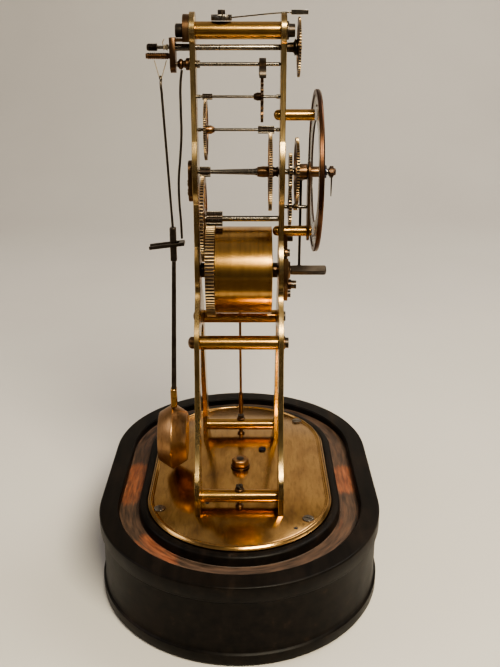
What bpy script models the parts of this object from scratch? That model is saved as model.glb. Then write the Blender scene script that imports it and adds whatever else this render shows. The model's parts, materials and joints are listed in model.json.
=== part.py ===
"""Skeleton clock: a brass two-plate timepiece with a silk-suspended half-second pendulum, on an oval
ebonised base that is grooved for a glass dome.

Metres, +Z up. The origin is the centre of the base's underside. The dial faces -Y, the pendulum hangs
behind the frame at +Y, and every arbor lies along Y in the plane X = 0.
"""

import math

import bmesh
import bpy
from mathutils import Matrix

MM = 0.001
GAP = 0.3 * MM

# Oval base: straight sides along X joined by half-round ends. Radii are those of the ends.
STRAIGHT_HALF = 36.8 * MM
BASE_RADIUS = 93.5 * MM
BASE_HEIGHT = 57.0 * MM
RIM_INNER_RADIUS = 80.5 * MM
GROOVE_INNER_RADIUS = 67.5 * MM
GROOVE_FLOOR = 51.5 * MM
PLATFORM_RADIUS = 61.5 * MM
PLATFORM_TOP = 59.8 * MM
PLATFORM_THICKNESS = 2.6 * MM

# Frame plates
PLATE_INNER = 25.0 * MM
PLATE_THICKNESS = 3.3 * MM
PLATE_OUTER = PLATE_INNER + PLATE_THICKNESS
LOBE_RADIUS = 10.3 * MM
NECK_HALF_WIDTH = 7.5 * MM
TRAIN_SWELL_RADIUS = 41.0 * MM
TRAIN_HALF_WIDTH = 12.5 * MM
BARREL_SWELL_RADIUS = 31.5 * MM
MID_PILLAR_X = 25.0 * MM
FOOT_X = 50.5 * MM
FOOT_HALF_WIDTH = 12.0 * MM
FOOT_TOP = 79.5 * MM

# Heights of the axes above the table
TOP_PILLAR_Z = 350.7 * MM
RATING_Z = 341.4 * MM
PALLET_Z = 332.0 * MM
ESCAPE_Z = 313.5 * MM
FOURTH_Z = 294.1 * MM
CENTRE_Z = 268.6 * MM
INTERMEDIATE_Z = 239.1 * MM
BARREL_Z = 205.2 * MM
MID_PILLAR_Z = 164.5 * MM
FOOT_PILLAR_Z = 67.5 * MM

# Teeth
GREAT_TEETH = 84
INTERMEDIATE_PINION_LEAVES = 12
INTERMEDIATE_TEETH = 80
CENTRE_PINION_LEAVES = 8
CENTRE_TEETH = 96
FOURTH_PINION_LEAVES = 8
FOURTH_TEETH = 84
ESCAPE_PINION_LEAVES = 7
ESCAPE_TEETH = 25
CANNON_TEETH = 36
MINUTE_PINION_LEAVES = 6
HOUR_TEETH = 72
RATCHET_TEETH = 24
RATING_TEETH = 60
ADDENDUM = 0.70  # of a module; a shallow tooth, so that meshed pairs keep clear at every angle
DEDENDUM = 1.05

# Layers along Y
GREAT_WHEEL_Y = (15.1 * MM, 20.9 * MM)
BARREL_Y = (-20.8 * MM, 14.8 * MM)
INTERMEDIATE_WHEEL_Y = (21.3 * MM, 23.5 * MM)
CENTRE_WHEEL_Y = (-20.4 * MM, -18.4 * MM)
FOURTH_WHEEL_Y = (19.2 * MM, 20.7 * MM)
ESCAPE_WHEEL_Y = (-14.9 * MM, -13.3 * MM)
CANNON_WHEEL_Y = (-32.8 * MM, -31.0 * MM)
HOUR_WHEEL_Y = (-36.7 * MM, -34.9 * MM)
BRIDGE_Y = (-44.3 * MM, -42.8 * MM)
DIAL_Y = (-48.4 * MM, -46.2 * MM)
BARREL_RADIUS = 28.2 * MM

# Motion work, dial and hands
MOTION_DISTANCE = 22.0 * MM
MINUTE_Z = CENTRE_Z - MOTION_DISTANCE
DIAL_RADIUS = 49.2 * MM
DIAL_INNER_RADIUS = 31.0 * MM
UPPER_DIAL_PILLAR_Z = 302.8 * MM
LOWER_DIAL_PILLAR_Z = 231.2 * MM
DIAL_PILLAR_RADIUS = 3.4 * MM
SHOWN_MINUTES = 3 * 60 + 14

# Pendulum and suspension
SUSPENSION_Z = 333.2 * MM
SILK_FRONT_Y = 42.4 * MM
SILK_REAR_Y = 49.7 * MM
HOOK_Y = 46.4 * MM
HOOK_Z = 322.4 * MM
BLOCK_Y = 42.2 * MM
BLOCK_Z = (211.5 * MM, 233.5 * MM)
BOB_Y = 46.6 * MM
BOB_Z = 84.2 * MM
BOB_RADIUS = 22.8 * MM
BOB_FACE_RADIUS = 17.0 * MM
BOB_HALF_THICKNESS = 9.8 * MM
FORK_Z = 222.5 * MM


def clear_scene():
    for old in list(bpy.data.objects):
        bpy.data.objects.remove(old, do_unlink=True)


def collection(name):
    made = bpy.data.collections.new(name)
    bpy.context.scene.collection.children.link(made)
    return made


def finish_material(name, colour, roughness, metallic):
    made = bpy.data.materials.new(name)
    made.use_nodes = True
    shader = made.node_tree.nodes["Principled BSDF"]
    shader.inputs["Base Color"].default_value = (*colour, 1.0)
    shader.inputs["Roughness"].default_value = roughness
    shader.inputs["Metallic"].default_value = metallic
    return made


clear_scene()
CLOCK = collection("skeleton_clock")
CUTTERS = collection("cutters")
BRASS = finish_material("brass", (0.76, 0.50, 0.19), 0.28, 1.0)
OLD_BRASS = finish_material("old_brass", (0.45, 0.28, 0.12), 0.40, 1.0)
STEEL = finish_material("steel", (0.35, 0.35, 0.36), 0.35, 1.0)
BLUED_STEEL = finish_material("blued_steel", (0.05, 0.05, 0.07), 0.35, 1.0)
WOOD = finish_material("ebonised_wood", (0.03, 0.02, 0.015), 0.40, 0.0)
ENAMEL = finish_material("enamel", (0.88, 0.86, 0.80), 0.20, 0.0)
SILK = finish_material("silk", (0.55, 0.50, 0.42), 0.90, 0.0)


# ---------------------------------------------------------------- building tools


def add_object(name, mesh, material, place=(0.0, 0.0, 0.0), turn=(0.0, 0.0, 0.0)):
    made = bpy.data.objects.new(name, mesh)
    made.location = place
    made.rotation_euler = turn
    if material is not None:
        mesh.materials.clear()
        mesh.materials.append(material)
    CLOCK.objects.link(made)
    return made


def facing_front():
    """The turn that lays an object's own Z along -Y, its X along X and its Y along Z."""
    return (math.pi / 2, 0.0, 0.0)


def shade_round(mesh):
    mesh.shade_smooth()
    mesh.set_sharp_from_angle(angle=math.radians(35))


def mesh_of(name, build):
    """A mesh made by build(bm), closed and with its faces pointing out."""
    work = bmesh.new()
    build(work)
    bmesh.ops.recalc_face_normals(work, faces=work.faces)
    mesh = bpy.data.meshes.new(name)
    work.to_mesh(mesh)
    work.free()
    shade_round(mesh)
    return mesh


def turned(name, profile, material, place, turn, steps, closed):
    """A body of revolution about its own Z, from (radius, height) points listed top to bottom."""
    work = bmesh.new()
    points = [work.verts.new((radius, 0.0, height)) for radius, height in profile]
    for first, second in zip(points, points[1:]):
        work.edges.new((first, second))
    if closed:
        work.edges.new((points[-1], points[0]))
    mesh = bpy.data.meshes.new(name)
    work.to_mesh(mesh)
    work.free()
    made = add_object(name, mesh, material, place, turn)
    screw = made.modifiers.new("turning", "SCREW")
    screw.steps = steps
    screw.render_steps = steps
    screw.use_merge_vertices = True
    screw.merge_threshold = 0.00001
    screw.use_smooth_shade = True
    return made


def turned_along_y(name, profile, material, z, x=0.0, steps=24, closed=False):
    """A body of revolution about the line along Y through (x, z), from (radius, y) points, front to rear."""
    upright = [(radius, -y) for radius, y in profile]
    return turned(name, upright, material, (x, 0.0, z), facing_front(), steps, closed)


def turned_along_z(name, profile, material, x=0.0, y=0.0, steps=24, closed=False):
    return turned(name, profile, material, (x, y, 0.0), (0.0, 0.0, 0.0), steps, closed)


def evaluated_copy(made, name):
    graph = bpy.context.evaluated_depsgraph_get()
    mesh = bpy.data.meshes.new_from_object(made.evaluated_get(graph))
    mesh.name = name
    work = bmesh.new()
    work.from_mesh(mesh)
    bmesh.ops.remove_doubles(work, verts=work.verts, dist=0.000001)
    bmesh.ops.recalc_face_normals(work, faces=work.faces)
    work.to_mesh(mesh)
    work.free()
    return mesh


def as_mesh(source):
    """Replaces a curve, or an object with modifiers, by the same shape as a plain welded mesh."""
    bpy.context.view_layer.update()
    name, place = source.name, source.matrix_world.copy()
    mesh = evaluated_copy(source, name)
    material = source.data.materials[0]
    bpy.data.objects.remove(source, do_unlink=True)
    made = add_object(name, mesh, None)
    made.matrix_world = place
    made.data.materials.clear()
    made.data.materials.append(material)
    shade_round(made.data)
    return made


def flat_along_y(name, loops, layer, material, z, x=0.0):
    """A flat plate across Y between layer's two heights; loops[0] is its edge, the rest are holes."""
    outline = bpy.data.curves.new(name, "CURVE")
    outline.dimensions = "2D"
    outline.fill_mode = "BOTH"
    outline.extrude = (layer[1] - layer[0]) / 2
    for loop in loops:
        spline = outline.splines.new("POLY")
        spline.points.add(len(loop) - 1)
        for point, (across, up) in zip(spline.points, loop):
            point.co = (across, up, 0.0, 1.0)
        spline.use_cyclic_u = True
    outline.materials.append(material)
    made = bpy.data.objects.new(name, outline)
    made.location = (x, (layer[0] + layer[1]) / 2, z)
    made.rotation_euler = facing_front()
    CLOCK.objects.link(made)
    return as_mesh(made)


def wire(name, route, radius, material, sides=2, cyclic=False, origin=(0.0, 0.0, 0.0)):
    """A round wire along route's points, with its origin at the given place."""
    path = bpy.data.curves.new(name, "CURVE")
    path.dimensions = "3D"
    path.bevel_depth = radius
    path.bevel_resolution = sides
    path.use_fill_caps = not cyclic
    spline = path.splines.new("POLY")
    spline.points.add(len(route) - 1)
    for point, place in zip(spline.points, route):
        point.co = (*[place[axis] - origin[axis] for axis in range(3)], 1.0)
    spline.use_cyclic_u = cyclic
    path.materials.append(material)
    made = bpy.data.objects.new(name, path)
    made.location = origin
    CLOCK.objects.link(made)
    return as_mesh(made)


def box(name, low, high, material, bevel=0.0, origin=(0.0, 0.0, 0.0)):
    size = [high[axis] - low[axis] for axis in range(3)]
    middle = [(high[axis] + low[axis]) / 2 - origin[axis] for axis in range(3)]

    def build(work):
        bmesh.ops.create_cube(work, size=1.0)
        bmesh.ops.scale(work, vec=size, verts=work.verts)
        bmesh.ops.translate(work, vec=middle, verts=work.verts)
        if bevel:
            edges = list(work.edges)
            bmesh.ops.bevel(work, geom=edges, offset=bevel, segments=1, affect="EDGES")

    return add_object(name, mesh_of(name, build), material, origin)


def lofted_along_y(name, sections, material, z, x=0.0):
    """A shaft along Y through (x, z). Each section is (y, radii), one radius a step, from straight down."""

    def build(work):
        rings = []
        for y, radii in sections:
            count = len(radii)
            angles = [2 * math.pi * step / count - math.pi / 2 for step in range(count)]
            ring = [
                work.verts.new((radius * math.cos(angle), y, radius * math.sin(angle)))
                for radius, angle in zip(radii, angles)
            ]
            rings.append(ring)
        for near, far in zip(rings, rings[1:]):
            for step in range(len(near)):
                after = (step + 1) % len(near)
                work.faces.new((near[step], near[after], far[after], far[step]))
        work.faces.new(rings[0])
        work.faces.new(rings[-1])

    return add_object(name, mesh_of(name, build), material, (x, 0.0, z))


def polar(radius, degrees, centre=(0.0, 0.0)):
    """A point at an angle counter-clockwise from +X as seen from the front."""
    angle = math.radians(degrees)
    return (centre[0] + radius * math.cos(angle), centre[1] + radius * math.sin(angle))


def arc(radius, start, end, steps, centre=(0.0, 0.0)):
    """Points on an arc, from a start to an end angle in degrees."""
    return [polar(radius, start + (end - start) * step / steps, centre) for step in range(steps + 1)]


def circle(radius, steps=16, centre=(0.0, 0.0)):
    return arc(radius, 0.0, 360.0, steps, centre)[:-1]


def bezier(start, pull, push, end, steps):
    """Points along a cubic curve, without its first."""
    points = []
    for step in range(1, steps + 1):
        t = step / steps
        weights = ((1 - t) ** 3, 3 * t * (1 - t) ** 2, 3 * t**2 * (1 - t), t**3)
        corners = (start, pull, push, end)
        points.append(
            tuple(sum(w * corner[axis] for w, corner in zip(weights, corners)) for axis in (0, 1))
        )
    return points


def boolean(target, cutter, operation):
    """Applies an exact Boolean at once, and removes the cutter."""
    cutter.hide_render = True
    cutter.display_type = "WIRE"
    step = target.modifiers.new(operation.lower(), "BOOLEAN")
    step.operation = operation
    step.object = cutter
    step.solver = "EXACT"
    made = as_mesh(target)
    bpy.data.objects.remove(cutter, do_unlink=True)
    return made


def cylinder_cutter(radius, start, end, steps=16):
    """A cutter from one point to another, which differ along one axis only."""
    axis = next(number for number in range(3) if start[number] != end[number])
    turn = {0: (0.0, math.pi / 2, 0.0), 1: (math.pi / 2, 0.0, 0.0), 2: (0.0, 0.0, 0.0)}[axis]

    def build(work):
        bmesh.ops.create_cone(
            work,
            cap_ends=True,
            segments=steps,
            radius1=radius,
            radius2=radius,
            depth=abs(end[axis] - start[axis]),
        )

    middle = tuple((start[number] + end[number]) / 2 for number in range(3))
    made = add_object("cutter", mesh_of("cutter", build), STEEL, middle, turn)
    CLOCK.objects.unlink(made)
    CUTTERS.objects.link(made)
    return made


def bored(target, radius, start, end, steps=16):
    return boolean(target, cylinder_cutter(radius, start, end, steps), "DIFFERENCE")


# ---------------------------------------------------------------- gearing


def module_of(distance, wheel_teeth, pinion_leaves):
    return 2 * distance / (wheel_teeth + pinion_leaves)


def gear_radii(module, teeth):
    pitch = module * teeth / 2
    return pitch - DEDENDUM * module, pitch + ADDENDUM * module


def toothed_edge(teeth, root, tip, phase=0.0):
    """Two points a tooth, with one tooth pointing at the phase, in degrees."""
    points = []
    for number in range(2 * teeth):
        radius = root if number % 2 else tip
        angle = math.radians(phase) + math.pi * number / teeth
        points.append((radius * math.cos(angle), radius * math.sin(angle)))
    return points


def windows(count, inner, outer, arm_half_width, steps=5):
    """The openings between a wheel's arms."""
    loops = []
    inner_side = math.degrees(math.asin(arm_half_width / inner))
    outer_side = math.degrees(math.asin(arm_half_width / outer))
    for number in range(count):
        start, end = 360.0 * number / count, 360.0 * (number + 1) / count
        rim = arc(outer, start + outer_side, end - outer_side, steps)
        hub = arc(inner, end - inner_side, start + inner_side, 2)
        loops.append(rim + hub)
    return loops


def round_ring(radius, count):
    return [radius] * count


def arbor(name, before, after, leaves, module, pinion_y, z):
    """A shaft with one pinion, between its plain stretches: (radius, y) points, front to rear."""
    root, tip = gear_radii(module, leaves)
    count = 2 * leaves
    sections = [(y, round_ring(radius, count)) for radius, y in before]
    sections.append((pinion_y[0], round_ring(before[-1][0], count)))
    sections += [(y, [tip, root] * leaves) for y in pinion_y]
    sections.append((pinion_y[1], round_ring(after[0][0], count)))
    sections += [(y, round_ring(radius, count)) for radius, y in after]
    return lofted_along_y(name, sections, STEEL, z)


def meshing_phase(teeth, direction):
    """Turns a wheel so that a gap points along direction, in degrees, where the other has a tooth."""
    return direction + 180.0 / teeth


# ---------------------------------------------------------------- base


def oval(made):
    """Moves a turned body's two halves apart along X, which makes its round into an oval."""
    made = as_mesh(made)
    for vertex in made.data.vertices:
        if abs(vertex.co.x) > 0.00001:
            vertex.co.x += math.copysign(STRAIGHT_HALF, vertex.co.x)
    return made


def oval_along_z(name, profile, material, steps=28):
    """The profile is turned by half a step first, so that no point of the turning lies at X = 0."""
    made = turned_along_z(name, profile, material, steps=steps)
    made.data.transform(Matrix.Rotation(math.pi / steps, 4, "Z"))
    return oval(made)


def make_base():
    bottom_edge = 1.2 * MM
    low_band = 9.0 * MM
    waist = BASE_RADIUS - 1.6 * MM
    top_band = BASE_HEIGHT - 11.0 * MM
    recess = PLATFORM_TOP - PLATFORM_THICKNESS - GAP
    ring_height = PLATFORM_TOP - 1.3 * MM
    profile = [
        (0.0, recess),
        (PLATFORM_RADIUS + GAP, recess),
        (PLATFORM_RADIUS + GAP, ring_height - 0.8 * MM),
        (PLATFORM_RADIUS + 1.4 * MM, ring_height),
        (GROOVE_INNER_RADIUS - 1.4 * MM, ring_height),
        (GROOVE_INNER_RADIUS, ring_height - 1.4 * MM),
        (GROOVE_INNER_RADIUS, GROOVE_FLOOR),
        (RIM_INNER_RADIUS, GROOVE_FLOOR),
        (RIM_INNER_RADIUS, BASE_HEIGHT - 0.8 * MM),
        (RIM_INNER_RADIUS + 0.8 * MM, BASE_HEIGHT),
        (BASE_RADIUS - 2.5 * MM, BASE_HEIGHT),
        (BASE_RADIUS - 0.6 * MM, BASE_HEIGHT - 1.0 * MM),
        (BASE_RADIUS, BASE_HEIGHT - 3.0 * MM),
        (BASE_RADIUS, top_band),
        (waist, top_band - 1.0 * MM),
        (waist, low_band + 1.0 * MM),
        (BASE_RADIUS, low_band),
        (BASE_RADIUS, bottom_edge),
        (BASE_RADIUS - bottom_edge, 0.0),
        (0.0, 0.0),
    ]
    wood = oval_along_z("wood_base", profile, WOOD)
    lip = PLATFORM_TOP + 0.7 * MM
    underside = PLATFORM_TOP - PLATFORM_THICKNESS
    platform = oval_along_z(
        "platform_plate",
        [
            (0.0, PLATFORM_TOP),
            (PLATFORM_RADIUS - 4.2 * MM, PLATFORM_TOP),
            (PLATFORM_RADIUS - 3.6 * MM, lip),
            (PLATFORM_RADIUS - 1.4 * MM, lip),
            (PLATFORM_RADIUS, PLATFORM_TOP - 0.8 * MM),
            (PLATFORM_RADIUS, underside),
            (0.0, underside),
        ],
        BRASS,
    )
    depth, above = PLATFORM_TOP - 20.0 * MM, PLATFORM_TOP + 20.0 * MM
    for x, radius in ((0.0, 3.0 * MM), (-FOOT_X, 1.9 * MM), (FOOT_X, 1.9 * MM)):
        wood = bored(wood, radius, (x, 0.0, depth), (x, 0.0, above), 12)
        platform = bored(platform, radius, (x, 0.0, depth), (x, 0.0, above), 12)


def make_platform_fastening():
    """The hexagonal nut at the platform's middle, on a stud that comes up through the wood."""
    nut_low, nut_high = PLATFORM_TOP + GAP, PLATFORM_TOP + 6.3 * MM
    stud_radius = 2.6 * MM

    def hexagon(work):
        bmesh.ops.create_cone(
            work,
            cap_ends=True,
            segments=6,
            radius1=6.2 * MM,
            radius2=6.2 * MM,
            depth=nut_high - nut_low,
        )

    place = (0.0, 0.0, (nut_low + nut_high) / 2)
    nut = add_object("platform_nut", mesh_of("platform_nut", hexagon), STEEL, place)
    bored(nut, stud_radius + GAP, (0.0, 0.0, nut_low - MM), (0.0, 0.0, nut_high + MM), 12)
    turned_along_z(
        "platform_stud",
        [
            (0.0, nut_high + 1.4 * MM),
            (stud_radius - 0.6 * MM, nut_high + 1.4 * MM),
            (stud_radius, nut_high + 0.8 * MM),
            (stud_radius, PLATFORM_TOP - 19.0 * MM),
            (0.0, PLATFORM_TOP - 19.0 * MM),
        ],
        STEEL,
        steps=12,
    )


# ---------------------------------------------------------------- frame


def swell(half_width, radius, low_degrees, steps, z):
    """A gentle bulge of a plate's side, from the neck's width out to half_width and back in."""
    inset = half_width - radius
    start = math.degrees(math.acos((NECK_HALF_WIDTH - inset) / radius))
    return arc(radius, start, -start if low_degrees is None else -low_degrees, steps, (inset, z))


def plate_edge(barrel_half_width):
    """The outline of a plate, in X and height: a slender stem that swells at the train and at the barrel."""
    lobe_side = math.degrees(math.acos(NECK_HALF_WIDTH / LOBE_RADIUS))
    ear = (33.0 * MM, 165.0 * MM)
    foot_out = FOOT_X + FOOT_HALF_WIDTH
    foot_in = FOOT_X - FOOT_HALF_WIDTH
    foot_low = PLATFORM_TOP + GAP
    edge = arc(LOBE_RADIUS, 90.0, -lobe_side, 5, (0.0, TOP_PILLAR_Z))
    edge += swell(TRAIN_HALF_WIDTH, TRAIN_SWELL_RADIUS, None, 8, CENTRE_Z)
    edge += swell(barrel_half_width, BARREL_SWELL_RADIUS, 14.0, 6, BARREL_Z)
    under = edge[-1][0]
    edge += bezier(edge[-1], (under - 2 * MM, 188.0 * MM), (31.0 * MM, 180.0 * MM), ear, 6)
    edge += bezier(ear, (35.5 * MM, 145.0 * MM), (42.0 * MM, 104.0 * MM), (foot_out - 2 * MM, 84 * MM), 7)
    edge += [(foot_out, FOOT_TOP), (foot_out, foot_low), (foot_in, foot_low), (foot_in, FOOT_TOP)]
    inside_low = (foot_in, FOOT_TOP)
    inside_high = (17.0 * MM, 157.0 * MM)
    edge += bezier(inside_low, (37.0 * MM, 98.0 * MM), (20.0 * MM, 128.0 * MM), inside_high, 7)
    edge += bezier(inside_high, (14.5 * MM, 164.0 * MM), (7.0 * MM, 166.5 * MM), (0.0, 166.5 * MM), 4)
    return mirrored_open(edge)


def mirrored_open(half):
    """A closed outline from its +X half, whose two ends lie on the plane X = 0."""
    return half + [(-across, up) for across, up in reversed(half[1:-1])]


PLATE_HOLES = {
    "top_pillar": (0.0, TOP_PILLAR_Z, 3.0 * MM),
    "rating": (0.0, RATING_Z, 2.2 * MM),
    "escape": (0.0, ESCAPE_Z, 0.9 * MM),
    "fourth": (0.0, FOURTH_Z, 0.9 * MM),
    "centre": (0.0, CENTRE_Z, 2.0 * MM),
    "intermediate": (0.0, INTERMEDIATE_Z, 1.5 * MM),
    "barrel": (0.0, BARREL_Z, 3.4 * MM),
    "left_mid_pillar": (-MID_PILLAR_X, MID_PILLAR_Z, 2.3 * MM),
    "right_mid_pillar": (MID_PILLAR_X, MID_PILLAR_Z, 2.3 * MM),
    "left_foot_pillar": (-FOOT_X, FOOT_PILLAR_Z, 2.3 * MM),
    "right_foot_pillar": (FOOT_X, FOOT_PILLAR_Z, 2.3 * MM),
}


def make_plate(name, layer, barrel_half_width, pallet_hole, extra_holes=()):
    loops = [plate_edge(barrel_half_width)]
    holes = list(PLATE_HOLES.values()) + [(0.0, PALLET_Z, pallet_hole)] + list(extra_holes)
    loops += [circle(radius, 8, (x, z)) for x, z, radius in holes]
    flat_along_y(name, loops, layer, BRASS, 0.0)


def make_plates():
    make_plate("rear_plate", (PLATE_INNER, PLATE_OUTER), 13.0 * MM, 3.2 * MM)
    dial_holes = [
        (0.0, UPPER_DIAL_PILLAR_Z, 1.8 * MM),
        (0.0, LOWER_DIAL_PILLAR_Z, 1.8 * MM),
        (0.0, MINUTE_Z, 1.2 * MM),
    ]
    make_plate("front_plate", (-PLATE_OUTER, -PLATE_INNER), 16.0 * MM, 0.9 * MM, dial_holes)


def pillar(name, x, z, radius, tenon, front_end, rear_end):
    """A turned pillar with a shoulder against each plate and a tenon through it."""
    inner = PLATE_INNER - GAP
    neck = radius - 0.8 * MM
    profile = [
        (0.0, front_end),
        (tenon, front_end),
        (tenon, -inner),
        (radius, -inner),
        (radius, -inner + 1.8 * MM),
        (neck, -inner + 2.6 * MM),
        (radius, -inner + 3.4 * MM),
        (radius, inner - 3.4 * MM),
        (neck, inner - 2.6 * MM),
        (radius, inner - 1.8 * MM),
        (radius, inner),
        (tenon, inner),
        (tenon, rear_end),
        (0.0, rear_end),
    ]
    return turned_along_y(name, profile, BRASS, z, x, steps=12)


def make_pillars():
    flush = PLATE_OUTER
    pillar("top_pillar", 0.0, TOP_PILLAR_Z, 5.0 * MM, 2.7 * MM, -32.4 * MM, 36.2 * MM)
    for side, x in (("left", -MID_PILLAR_X), ("right", MID_PILLAR_X)):
        pillar(f"{side}_mid_pillar", x, MID_PILLAR_Z, 4.5 * MM, 2.0 * MM, -flush, 31.0 * MM)
    for side, x in (("left", -FOOT_X), ("right", FOOT_X)):
        made = pillar(f"{side}_foot_pillar", x, FOOT_PILLAR_Z, 4.3 * MM, 2.0 * MM, -flush, flush)
        made = as_mesh(made)
        bored(made, 1.8 * MM, (x, 0.0, FOOT_PILLAR_Z - 0.01), (x, 0.0, FOOT_PILLAR_Z + 0.01), 10)


def make_foot_screws():
    """The upright screws that hold each foot pillar down, with a collar between pillar and platform."""
    head_low = FOOT_PILLAR_Z + 4.3 * MM + GAP
    shank = 1.4 * MM
    for side, x in (("left", -FOOT_X), ("right", FOOT_X)):
        turned_along_z(
            f"{side}_foot_screw",
            [
                (0.0, head_low + 3.2 * MM),
                (1.6 * MM, head_low + 3.0 * MM),
                (3.1 * MM, head_low + 1.4 * MM),
                (3.1 * MM, head_low),
                (shank, head_low),
                (shank, PLATFORM_TOP - 15.0 * MM),
                (0.0, PLATFORM_TOP - 15.0 * MM),
            ],
            STEEL,
            x,
            steps=12,
        )


def make_frame_nuts():
    front, rear = -PLATE_OUTER - GAP, PLATE_OUTER + 4.0 * MM + GAP
    bore = 2.7 * MM + GAP
    turned_along_y(
        "top_pillar_front_nut",
        [
            (bore, front - 4.6 * MM),
            (3.4 * MM, front - 4.6 * MM),
            (3.9 * MM, front - 4.0 * MM),
            (3.9 * MM, front - 1.0 * MM),
            (5.2 * MM, front - 1.0 * MM),
            (5.2 * MM, front),
            (bore, front),
        ],
        STEEL,
        TOP_PILLAR_Z,
        steps=16,
        closed=True,
    )
    turned_along_y(
        "top_pillar_rear_nut",
        [
            (bore, rear),
            (3.9 * MM, rear),
            (3.9 * MM, rear + 3.6 * MM),
            (3.3 * MM, rear + 4.2 * MM),
            (bore, rear + 4.2 * MM),
        ],
        STEEL,
        TOP_PILLAR_Z,
        steps=16,
        closed=True,
    )


def make_stay_rod():
    """The thin rod that runs down the right-hand legs, from under the mid pillar to the foot screw."""
    top = (MID_PILLAR_X + 0.6 * MM, 0.0, MID_PILLAR_Z - 5.6 * MM)
    foot = (FOOT_X - 1.0 * MM, 0.0, FOOT_PILLAR_Z + 9.6 * MM)
    wire("stay_rod", [top, foot], 0.9 * MM, STEEL)


# ---------------------------------------------------------------- barrel and winding


def make_barrel():
    wall, floor = 1.2 * MM, 1.6 * MM
    front, rear = BARREL_Y
    arbor_hole = 4.3 * MM
    turned_along_y(
        "barrel_drum",
        [
            (arbor_hole, front),
            (BARREL_RADIUS - 0.5 * MM, front),
            (BARREL_RADIUS, front + 0.5 * MM),
            (BARREL_RADIUS, rear),
            (BARREL_RADIUS - wall, rear),
            (BARREL_RADIUS - wall, front + floor),
            (arbor_hole, front + floor),
        ],
        BRASS,
        BARREL_Z,
        steps=36,
        closed=True,
    )
    cover = rear - 2.0 * MM
    turned_along_y(
        "barrel_cover",
        [
            (arbor_hole, cover),
            (BARREL_RADIUS - wall - GAP, cover),
            (BARREL_RADIUS - wall - GAP, cover + 1.6 * MM),
            (arbor_hole, cover + 1.6 * MM),
        ],
        BRASS,
        BARREL_Z,
        steps=24,
        closed=True,
    )
    module = module_of(INTERMEDIATE_Z - BARREL_Z, GREAT_TEETH, INTERMEDIATE_PINION_LEAVES)
    root, tip = gear_radii(module, GREAT_TEETH)
    phase = meshing_phase(GREAT_TEETH, 90.0)
    loops = [toothed_edge(GREAT_TEETH, root, tip, phase), circle(arbor_hole, 16)]
    flat_along_y("great_wheel", loops, GREAT_WHEEL_Y, BRASS, BARREL_Z)


def square_ring(half_diagonal, count):
    """Radii round a square bar that stands on its corner."""
    radii = []
    for step in range(count):
        from_corner = (360.0 * step / count) % 90.0
        radii.append(half_diagonal * math.cos(math.pi / 4) / math.cos(math.radians(from_corner - 45.0)))
    return radii


def make_barrel_arbor():
    """The winding arbor: journals in both plates, a core inside the barrel, and the winding square."""
    count = 16
    core, collar, journal, seat = 4.0 * MM, 4.8 * MM, 3.1 * MM, 2.9 * MM
    plain = [
        (journal, 28.1 * MM),
        (journal, 24.7 * MM),
        (collar, 24.7 * MM),
        (collar, 21.2 * MM),
        (core, 21.2 * MM),
        (core, -21.1 * MM),
        (collar, -21.1 * MM),
        (collar, -24.7 * MM),
        (journal, -24.7 * MM),
        (journal, -28.5 * MM),
        (seat, -28.5 * MM),
        (seat, -33.4 * MM),
    ]
    sections = [(y, round_ring(radius, count)) for radius, y in plain]
    sections += [
        (-33.4 * MM, square_ring(3.3 * MM, count)),
        (-55.6 * MM, square_ring(3.3 * MM, count)),
        (-56.2 * MM, square_ring(2.8 * MM, count)),
    ]
    lofted_along_y("barrel_arbor", sections, STEEL, BARREL_Z)


def make_mainspring():
    """A flat strip coiled from the arbor's core out to the drum's wall."""
    turns, steps_per_turn = 4, 11
    inner, outer = 4.7 * MM, BARREL_RADIUS - 2.1 * MM
    thickness, front, rear = 0.5 * MM, -18.7 * MM, 12.3 * MM
    count = turns * steps_per_turn

    def build(work):
        ribs = []
        for step in range(count + 1):
            along = step / count
            radius = inner + (outer - inner) * along**0.6
            angle = 2 * math.pi * turns * along
            cos, sin = math.cos(angle), math.sin(angle)
            ribs.append(
                [
                    work.verts.new((r * cos, y, r * sin))
                    for r, y in (
                        (radius, front),
                        (radius + thickness, front),
                        (radius + thickness, rear),
                        (radius, rear),
                    )
                ]
            )
        for near, far in zip(ribs, ribs[1:]):
            for corner in range(4):
                after = (corner + 1) % 4
                work.faces.new((near[corner], near[after], far[after], far[corner]))
        work.faces.new(ribs[0])
        work.faces.new(ribs[-1])

    add_object("mainspring", mesh_of("mainspring", build), BLUED_STEEL, (0.0, 0.0, BARREL_Z))


RATCHET_ROOT = 10.3 * MM
RATCHET_TIP = 12.0 * MM
RATCHET_Y = (-30.5 * MM, -28.7 * MM)
RATCHET_VALLEY = 89.4
CLICK_PIVOT = (-10.0 * MM, BARREL_Z + 14.3 * MM)


def make_ratchet():
    """Saw teeth that pass under the click clockwise, as seen from the front, and lock the other way."""
    pitch = 360.0 / RATCHET_TEETH
    edge = []
    for number in range(RATCHET_TEETH):
        valley = RATCHET_VALLEY + number * pitch
        edge += [polar(RATCHET_ROOT, valley), polar(RATCHET_TIP, valley + pitch - 0.8)]
    hole = circle(3.2 * MM, 12)
    flat_along_y("ratchet_wheel", [edge, hole], RATCHET_Y, STEEL, BARREL_Z)


def make_click():
    """The click, pivoted above and to the left of the ratchet, with its nose in a tooth space."""
    x, z = CLICK_PIVOT
    boss = arc(3.4 * MM, 60.0, 275.0, 8)
    nose = [
        (-3.0 * MM - x, BARREL_Z + 12.5 * MM - z),
        (-0.3 * MM - x, BARREL_Z + 11.0 * MM - z),
        (-0.3 * MM - x, BARREL_Z + 12.6 * MM - z),
        (-2.4 * MM - x, BARREL_Z + 14.6 * MM - z),
    ]
    hole = circle(1.0 * MM, 8)
    flat_along_y("click", [boss + nose, hole], RATCHET_Y, OLD_BRASS, z, x)


# ---------------------------------------------------------------- going train


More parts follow.
